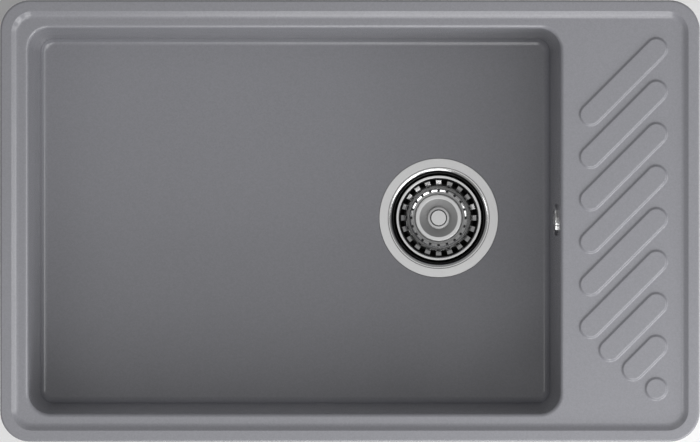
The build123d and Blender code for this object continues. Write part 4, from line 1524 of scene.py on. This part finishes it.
@dataclass
class StrainerBasket:
    """The lift-out basket with its knob, washer, carrier and seal."""

    rim: float = 41.05 * MM
    collar: Point = (38.75 * MM, 37.0 * MM)
    collar_drop: float = 4.3 * MM
    shoulder: float = 33.1 * MM
    shoulder_drop: float = 5.6 * MM
    wall: float = 30.6 * MM
    wall_drop: float = 13.5 * MM
    foot: float = 28.4 * MM
    foot_drop: float = 17.0 * MM
    foot_round: float = 4.0 * MM
    gutter: float = 23.6 * MM
    gutter_drop: float = 18.0 * MM
    plateau: Point = (22.3 * MM, 18.8 * MM)
    plateau_drop: float = 15.8 * MM
    dish: float = 10.3 * MM
    dish_drop: float = 19.0 * MM
    stem_hole: float = 4.1 * MM
    sheet: float = 0.8 * MM
    slots: int = 20
    slot_span: Point = (31.1 * MM, 37.9 * MM)
    hole_span: Point = (25.5 * MM, 27.4 * MM)
    columns: int = 13
    slot_columns: int = 7
    hole_columns: int = 4
    fold: float = 1.1 * MM
    valley: float = 0.6 * MM
    bend_steps: int = 4
    knob_radius: float = 8.3 * MM
    knob_flat: float = 7.2 * MM
    knob_slope: float = 2.2 * MM
    knob_height: float = 6.0 * MM
    neck: Point = (4.6 * MM, 10.2 * MM)
    stem: Point = (3.9 * MM, 22.6 * MM)
    pin: float = 3.1 * MM
    pin_tip: Point = (2.1 * MM, 1.0 * MM)
    knob_crown_bends: Point = (0.15 * MM, 0.6 * MM)
    knob_under_bends: Point = (0.6 * MM, 0.5 * MM)
    pin_bend: float = 0.4 * MM
    washer_bends: tuple[float, float, float] = (0.2 * MM, 0.25 * MM, 0.2 * MM)
    turned_steps: int = 72

    def __post_init__(self) -> None:
        """Takes the axis and the height from the frame."""
        self.axis = middle_of("strainer_basket")
        self.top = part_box("strainer_basket")[1].z
        self.place = upright(self.axis)

    @staticmethod
    def between(one: Point, other: Point, radius: float) -> Point:
        """Gives the point at a radius on the line between two corners."""
        share = (radius - one[0]) / (other[0] - one[0])
        return (radius, one[1] + share * (other[1] - one[1]))

    def build_basket(self) -> bpy.types.Object:
        """Presses the basket, punches its slots and drop holes and returns it."""
        top = self.top
        brim = (self.collar[0], top)
        ledge = (self.collar[1], top - self.collar_drop)
        shoulder = (self.shoulder, top - self.shoulder_drop)
        wall = (self.wall, top - self.wall_drop)
        foot = (self.foot, top - self.foot_drop)
        gutter = (self.gutter, top - self.gutter_drop)
        plateau = top - self.plateau_drop
        dish = top - self.dish_drop
        corners = [
            (self.rim, top), brim, self.between(brim, ledge, self.slot_span[1]), ledge, shoulder,
            self.between(shoulder, wall, self.slot_span[0]), wall, foot,
            self.between(foot, gutter, self.hole_span[0]), gutter,
            (self.plateau[0], plateau), (self.plateau[1], plateau), (self.dish, dish), (self.stem_hole, dish),
        ]
        fold = self.fold
        valley = self.valley
        bends = [fold, 0, valley, fold, 0, 0, self.foot_round, 0, valley, fold, fold, valley]
        profile = rounded(corners, bends, self.bend_steps)
        basket = turned("basket_pressing", profile, self.slots * self.columns)
        sheet_up(basket)
        pitch = 2 * math.pi / self.slots
        self.punch(basket, self.slot_span, self.slot_columns / self.columns * pitch / 2, pitch / 2)
        self.punch(basket, self.hole_span, self.hole_columns / self.columns * pitch / 2, 0.0)
        work(basket, "SOLIDIFY", thickness=self.sheet, offset=-1.0)
        settle(basket, self.place)
        shade(basket, SHARP_TURNED)
        return basket

    def punch(self, basket: bpy.types.Object, span: Point, half: float, offset: float) -> None:
        """Punches one ring of openings out of the sheet.

        Args:
            basket: the pressed sheet.
            span: inner and outer radius of the openings.
            half: half of an opening's angle.
            offset: angle of the first opening's middle.
        """
        pitch = 2 * math.pi / self.slots

        def inside(face: bmesh.types.BMFace) -> bool:
            """Tells whether a face lies in an opening."""
            spot = face.calc_center_median()
            away = (math.atan2(spot.y, spot.x) - offset + pitch / 2) % pitch - pitch / 2
            return span[0] < math.hypot(spot.x, spot.y) < span[1] and abs(away) < half

        open_bench(basket)
        select_faces(basket, inside)
        bpy.ops.mesh.delete(type="FACE")
        bpy.ops.object.mode_set(mode="OBJECT")

    def build_knob(self) -> bpy.types.Object:
        """Turns the knob with its neck, stem and pin and returns it."""
        low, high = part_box("basket_knob")
        top = high.z
        tip = low.z
        under = top - self.knob_height
        neck_foot = top - self.neck[1]
        stem_foot = top - self.stem[1]
        corners = [
            (0.0, top), (self.knob_flat, top), (self.knob_radius, top - self.knob_slope),
            (self.knob_radius, under), (self.neck[0], under), (self.neck[0], neck_foot),
            (self.stem[0], neck_foot), (self.stem[0], stem_foot), (self.pin, stem_foot),
            (self.pin, tip + self.pin_tip[1]), (self.pin_tip[0], tip), (0.0, tip),
        ]
        bends = [*self.knob_crown_bends, *self.knob_under_bends, 0, 0, 0, 0, self.pin_bend, self.pin_bend]
        knob = turned("knob_and_stem", rounded(corners, bends, 5), self.turned_steps)
        settle(knob, self.place)
        shade(knob, SHARP_TURNED)
        return knob

    def build_washer(self) -> bpy.types.Object:
        """Turns the washer under the knob and returns it."""
        low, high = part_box("knob_washer")
        outer = (high.x - low.x) / 2
        hole = self.stem_hole
        corners = [(hole, low.z), (outer, low.z), (outer, high.z), (hole, high.z), (hole, low.z)]
        profile = rounded(corners, self.washer_bends, 3)
        washer = turned("washer_ring", profile[:-1], self.turned_steps, closed=True)
        settle(washer, self.place)
        shade(washer, SHARP_TURNED)
        return washer

    def dress(self, fitter: Fitter, palette: Palette) -> None:
        """Makes the basket's pieces and dresses the rest."""
        fitter.fit(self.build_basket(), palette.basket_steel, "basket", "polished_steel", "strainer_basket")
        fitter.fit(self.build_knob(), palette.knob_steel, "basket", "polished_steel", "basket_knob")
        fitter.fit(self.build_washer(), palette.basket_steel, "basket", "polished_steel", "knob_washer")
        fitter.dress("stopper_carrier", palette.black_plastic)
        fitter.dress("stopper_seal", palette.rubber)
        fitter.dress("stem_nut", palette.plain_steel)


@dataclass
class OverflowFitting:
    """The overflow's plate, elbow and ribbed hose."""

    plate_radius: float = 15.6 * MM
    plate_height: float = OVERFLOW_PLATE_HEIGHT
    plate_round: float = 1.4 * MM
    plate_foot_round: float = 0.2 * MM
    plate_steps: int = 96
    holes: HoleRing = HoleRing(8, 2.1 * MM, 9.0 * MM, 28)
    screw_hole: float = 2.2 * MM
    countersink: Point = (4.3 * MM, 2.1 * MM)
    countersink_round: float = 0.3 * MM
    bore: float = 8.2 * MM
    cuff: float = 10.0 * MM
    valley: float = 9.6 * MM
    crest: float = 12.0 * MM
    rib_pitch: float = 5.0 * MM
    rib_rise: float = 1.0 * MM
    rib_flat: float = 1.4 * MM
    rib_round: float = 0.45 * MM
    rib_weld: float = 0.01 * MM
    cuff_least: float = 32.0 * MM
    cuff_run_out: float = 1.0 * MM
    cuff_steps: int = 12
    bend: float = 50.0 * MM
    weld: float = 0.02 * MM
    hose_steps: int = 56
    path_steps: int = 64

    def build_plate(self) -> bpy.types.Object:
        """Turns the overflow's plate, drills its ring of holes and returns it."""
        tall = self.plate_height
        hole = self.screw_hole
        radius, depth = self.countersink
        corners = [
            (hole, 0.0), (self.plate_radius, 0.0), (self.plate_radius, tall), (radius, tall),
            (hole, tall - depth), (hole, 0.0),
        ]
        bends = [self.plate_foot_round, self.plate_round, self.countersink_round, 0.0]
        profile = rounded(corners, bends)
        plate = turned("overflow_plate", profile[:-1], self.plate_steps, closed=True)
        self.holes.drill(plate, 0.0, 2 * tall, tall)
        settle(plate, overflow_place())
        shade(plate, SHARP_TURNED)
        return plate

    def route(self) -> tuple[list[Vector], float]:
        """Works out the hose's route from its node and both nuts.

        Returns:
            Start, first and last point of the bend and end, and the whole length.
        """
        low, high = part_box("overflow_hose")
        nut = middle_of("hose_nut_lower")
        top = Vector((high.x - self.crest, middle_of("hose_nut_upper").y, high.z))
        level = nut.z
        ahead = Vector((nut.x - top.x, nut.y - top.y, 0)).normalized()
        drop = top.z - level - self.bend
        first = top - Vector((0, 0, drop))
        last = Vector((top.x, top.y, level)) + ahead * self.bend
        reach = (last.x - low.x) / -ahead.x
        end = last + ahead * reach
        return [top, first, last, end], drop + self.bend * math.pi / 2 + reach

    def row_of_ribs(self, start: float, count: int) -> bpy.types.Object:
        """Models one rib and repeats it along the Z axis.

        Args:
            start: where the first rib begins.
            count: how many ribs there are.

        Returns:
            The row of ribs.
        """
        flat = (self.rib_pitch - 2 * self.rib_rise - self.rib_flat) / 2
        rise = flat + self.rib_rise
        shape = [
            (self.valley, 0.0), (self.valley, flat), (self.crest, rise), (self.crest, rise + self.rib_flat),
            (self.valley, self.rib_pitch - flat), (self.valley, self.rib_pitch),
        ]
        rib = turned("rib", rounded(shape, [self.rib_round] * 4, 3), self.hose_steps)
        settle(rib, Matrix.Translation((0, 0, start)))
        work(rib, "ARRAY", count=count, use_relative_offset=False, use_constant_offset=True,
             constant_offset_displace=(0, 0, self.rib_pitch), use_merge_vertices=True,
             merge_threshold=self.rib_weld)
        return rib

    def straight_hose(self, length: float) -> bpy.types.Object:
        """Models the whole hose before it is bent.

        Args:
            length: length of the hose's middle line.

        Returns:
            The hose, upright on the origin.
        """
        count = int((length - 2 * self.cuff_least) / self.rib_pitch)
        start = (length - count * self.rib_pitch) / 2
        pieces = [self.row_of_ribs(start, count)]
        for near, far, sign in ((0.0, start, 1), (length, length - start, -1)):
            run = sign * (start - self.cuff_run_out)
            spots = [near + run * number / self.cuff_steps for number in range(self.cuff_steps + 1)]
            shape = [(self.bore, near), *((self.cuff, spot) for spot in spots), (self.valley, far)]
            pieces.append(turned("cuff", shape, self.hose_steps))
        steps = int(length / self.rib_pitch * 2)
        shape = [(self.bore, length * number / steps) for number in range(steps + 1)]
        pieces.append(turned("bore", shape, self.hose_steps))
        hose = join(pieces)
        hose.name = "ribbed_hose"
        open_bench(hose)
        close_bench(self.weld)
        return hose

    def lay_path(self, stops: Sequence[Vector]) -> bpy.types.Object:
        """Lays the curve along which the hose is bent.

        Args:
            stops: start, first and last point of the bend, and end.

        Returns:
            The curve.
        """
        top, first, last, end = stops
        clear_selection()
        bpy.ops.curve.primitive_bezier_curve_add()
        path = bpy.context.object
        path.data.dimensions = "3D"
        path.data.twist_mode = "MINIMUM"
        path.data.resolution_u = self.path_steps
        knots = path.data.splines[0].bezier_points
        knots.add(2)
        pull = self.bend * 4 / 3 * math.tan(math.pi / 8)
        down = Vector((0, 0, -1))
        ahead = (end - last).normalized()
        drop = (first - top).length / 3
        level = (end - last).length / 3
        holds = [
            (top, down, drop, drop), (first, down, drop, pull),
            (last, ahead, pull, level), (end, ahead, level, level),
        ]
        for knot, (spot, way, before, after) in zip(knots, holds):
            knot.handle_left_type = "FREE"
            knot.handle_right_type = "FREE"
            knot.co = spot
            knot.handle_left = spot - way * before
            knot.handle_right = spot + way * after
        return path

    def build_hose(self) -> bpy.types.Object:
        """Models the ribbed hose, bends it along its route and returns it."""
        stops, length = self.route()
        hose = self.straight_hose(length)
        path = self.lay_path(stops)
        work(hose, "CURVE", object=path, deform_axis="POS_Z")
        scrap(path)
        shade(hose, SHARP_HOSE, weighted=False)
        return hose

    def dress(self, fitter: Fitter, palette: Palette) -> None:
        """Makes the plate and the hose and dresses the rest."""
        fitter.fit(self.build_plate(), palette.chrome, "sink", "chrome", "overflow_rosette")
        fitter.fit(self.build_hose(), palette.hose_plastic, "sink", "hose_grey", "overflow_hose")
        fitter.dress("overflow_screw", palette.plain_steel)
        fitter.dress("overflow_gasket", palette.rubber)
        for node in ("overflow_elbow", "hose_nut_upper", "hose_nut_lower"):
            fitter.dress(node, palette.white_plastic)
        for node in ("hose_seal_upper", "hose_seal_lower"):
            fitter.dress(node, palette.rubber)


@dataclass
class WorktopClips:
    """The eight sliding clips with their screws, washers and inserts."""

    width: float = 16.0 * MM
    sheet: float = 1.5 * MM
    bend: float = 3.5 * MM
    corner: float = 2.5 * MM
    edge: float = 0.25 * MM
    slot_width: float = 5.6 * MM
    slide_gap: float = 0.02 * MM
    travel: float = 12.0 * MM
    head_radius: float = 4.6 * MM
    head_height: float = 3.2 * MM
    head_seat: float = 2.5 * MM
    socket_radius: float = 2.5 * MM
    socket_depth: float = 1.6 * MM
    socket_sides: int = 6
    shaft_radius: float = 2.5 * MM
    shaft_depth: float = 9.0 * MM
    screw_bends: tuple[float, float, float, float] = (0.6 * MM, 0.2 * MM, 0.0, 0.5 * MM)
    screw_steps: int = 48
    clearance: float = 1.0 * MM
    close: float = 0.1 * MM
    sharp: float = math.radians(50)
    bend_steps: int = 6
    slot_steps: int = 10

    def __post_init__(self) -> None:
        """Lists the seats of the clips."""
        self.seats = ClipSeat.all()

    def build_clip(self, seat: ClipSeat) -> bpy.types.Object:
        """Bends one clip from sheet steel and cuts its slot.

        Args:
            seat: a seat whose node gives the clip's size.

        Returns:
            The clip, with local +Y away from its pad.
        """
        low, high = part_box(seat.node)
        reach = min(high.x - low.x, high.y - low.y)
        leg = high.z - self.bend - low.z
        clip = plane_bench("clip_master")
        bpy.ops.transform.resize(value=(self.width, leg, 1), center_override=(0, 0, 0))
        bpy.ops.transform.rotate(value=math.pi / 2, orient_axis="X", center_override=(0, 0, 0))
        bpy.ops.transform.translate(value=(0, 0, low.z + leg / 2))
        select_points(clip, lambda spot: spot.z > low.z + leg / 2)
        pivot = (0, self.bend, high.z - self.bend)
        bpy.ops.mesh.spin(steps=self.bend_steps, angle=math.pi / 2, center=pivot, axis=(1, 0, 0))
        bpy.ops.mesh.extrude_edges_move(TRANSFORM_OT_translate={"value": (0, reach - self.bend, 0)})
        select_points(clip, lambda spot: spot.z < low.z + self.close or spot.y > reach - self.close)
        bpy.ops.mesh.bevel(affect="VERTICES", offset=self.corner, segments=self.bend_steps, profile=0.5)
        close_bench()
        sheet_up(clip)
        work(clip, "SOLIDIFY", thickness=self.sheet, offset=-1.0)
        work(clip, "BEVEL", width=self.edge, segments=2, limit_method="ANGLE", angle_limit=self.sharp)
        combine(clip, self.slot_cutter(seat), Cut.TAKE)
        open_bench(clip)
        select_points(clip, lambda spot: spot.y < self.slide_gap)
        bpy.ops.transform.translate(value=(0, self.slide_gap, 0))
        close_bench()
        shade(clip, SHARP_FORMED)
        return clip

    def slot_cutter(self, seat: ClipSeat) -> bpy.types.Object:
        """Makes the cutter of a clip's slot, upright and through its leg."""
        tall = self.travel + self.slot_width
        bench = LoopBench("slot_cutter")
        half = self.slot_width / 2
        depths = (-self.sheet, 3 * self.sheet)
        slabs = [Slab(tall, self.slot_width, half, (0.0, 0.0, depth)) for depth in depths]
        for loop in bench.sleeve(slabs, self.slot_steps):
            bench.cap(loop)
        middle = seat.screw_height - self.travel / 2
        place = Matrix(((0, 1, 0, 0), (0, 0, 1, 0), (1, 0, 0, middle), (0, 0, 0, 1)))
        return settle(bench.finish(), place)

    def build_screws(self) -> bpy.types.Object:
        """Turns one socket screw, copies it to every seat and returns them as one piece."""
        top = self.head_seat + self.head_height
        seat_level = self.head_seat
        corners = [
            (0.0, top), (self.head_radius, top), (self.head_radius, seat_level),
            (self.shaft_radius, seat_level), (self.shaft_radius, -self.shaft_depth), (0.0, -self.shaft_depth),
        ]
        master = turned("screw_master", rounded(corners, self.screw_bends, 4), self.screw_steps)
        high = top + self.clearance
        socket = rod("socket", self.socket_radius, high, top - self.socket_depth, self.socket_sides)
        combine(master, socket, Cut.TAKE)
        shade(master, SHARP_FORMED)
        copies = []
        for seat in self.seats:
            out = Matrix.Translation((0, 0, seat.screw_height)) @ Matrix.Rotation(-math.pi / 2, 4, "X")
            copies.append(settle(copy_of(master, "clip_socket_screws"), seat.place() @ out))
        scrap(master)
        return join(copies)

    def dress(self, fitter: Fitter, palette: Palette) -> None:
        """Makes the clips and screws and dresses the washers and inserts."""
        master = self.build_clip(self.seats[0])
        for seat in self.seats:
            clip = settle(copy_of(master, seat.node.replace("clip", "bent_clip")), seat.place())
            fitter.fit(clip, palette.zinc, f"{seat.node}_body", "zinc_steel", seat.node)
        scrap(master)
        fitter.fit(self.build_screws(), palette.plain_steel, "sink", "stainless", "clip_screws")
        fitter.dress("clip_washers", palette.zinc)
        fitter.dress("clip_inserts", palette.brass)


# Light and camera


@dataclass(frozen=True)
class Lamp:
    """A soft box that looks at the sink."""

    name: str
    turn: float
    rise: float
    far: float
    wide: float
    tall: float
    power: float

    def hang(self) -> None:
        """Hangs the box at its bearing from +X and its rise above the floor, in degrees."""
        turn, rise = math.radians(self.turn), math.radians(self.rise)
        way = Vector((math.cos(rise) * math.cos(turn), math.cos(rise) * math.sin(turn), math.sin(rise)))
        lamp = bpy.data.lights.new(self.name, "AREA")
        lamp.shape = "RECTANGLE"
        lamp.size = self.wide
        lamp.size_y = self.tall
        lamp.energy = self.power
        holder = bpy.data.objects.new(self.name, lamp)
        holder.matrix_world = aimed(way * self.far, way)
        bpy.context.collection.objects.link(holder)


@dataclass
class Studio:
    """Pale floor, soft lights and the camera straight above the sink."""

    floor_size: float = 8.0
    floor_colour: Colour = (0.86, 0.86, 0.86, 1.0)
    camera_height: float = 12.3
    lens: float = 660.0
    sensor: float = 36.0
    sight: float = 100.0
    world: float = 0.30
    lamps: tuple[Lamp, ...] = (
        Lamp("front", 276, 27, 1.9, 0.8, 1.2, 11.3),
        Lamp("corner", 315, 29, 1.9, 0.8, 1.2, 15.5),
        Lamp("side", 354, 27, 1.9, 0.8, 1.2, 9.0),
        Lamp("fill", 120, 18, 2.2, 1.4, 1.0, 2.5),
        Lamp("overhead", 0, 90, 2.6, 1.7, 1.7, 4.3),
        Lamp("long_strip", 305, 61, 1.6, 1.15, 0.34, 6.0),
        Lamp("short_strip", 197, 61, 1.6, 0.28, 0.34, 1.2),
    )

    def build(self) -> None:
        """Sets up floor, lights, surroundings and camera."""
        clear_selection()
        bpy.ops.mesh.primitive_plane_add(size=self.floor_size, location=(0, 0, cad_bounds[0][2]))
        floor = bpy.context.object
        floor.name = "studio_floor"
        material, _, shader = new_material("pale_floor")
        shader.inputs["Base Color"].default_value = self.floor_colour
        shader.inputs["Roughness"].default_value = 1.0
        shader.inputs["Specular IOR Level"].default_value = 0.0
        floor.data.materials.append(material)
        for lamp in self.lamps:
            lamp.hang()
        world = bpy.data.worlds.new("studio_air")
        world.use_nodes = True
        world.node_tree.nodes["Background"].inputs["Color"].default_value = (1, 1, 1, 1)
        world.node_tree.nodes["Background"].inputs["Strength"].default_value = self.world
        scene = bpy.context.scene
        scene.world = world
        scene.view_settings.view_transform = "Standard"
        camera = bpy.data.cameras.new("above")
        camera.lens = self.lens
        camera.sensor_width = self.sensor
        camera.clip_end = self.sight
        holder = bpy.data.objects.new("above", camera)
        holder.location = (0, 0, self.camera_height)
        bpy.context.collection.objects.link(holder)
        scene.camera = holder


def main() -> None:
    """Builds the sub-assemblies in order."""
    waste = WasteFitting()
    palette = Palette(waste.axis)
    fitter = Fitter(frame["nodes"])
    fitter.fit(Basin().build(), palette.stone, "sink", "composite", "sink_basin")
    fitter.dress("rim_sealing_strip", palette.foam)
    waste.dress(fitter, palette)
    StrainerBasket().dress(fitter, palette)
    OverflowFitting().dress(fitter, palette)
    WorktopClips().dress(fitter, palette)
    Studio().build()


if __name__ == "__main__":
    main()
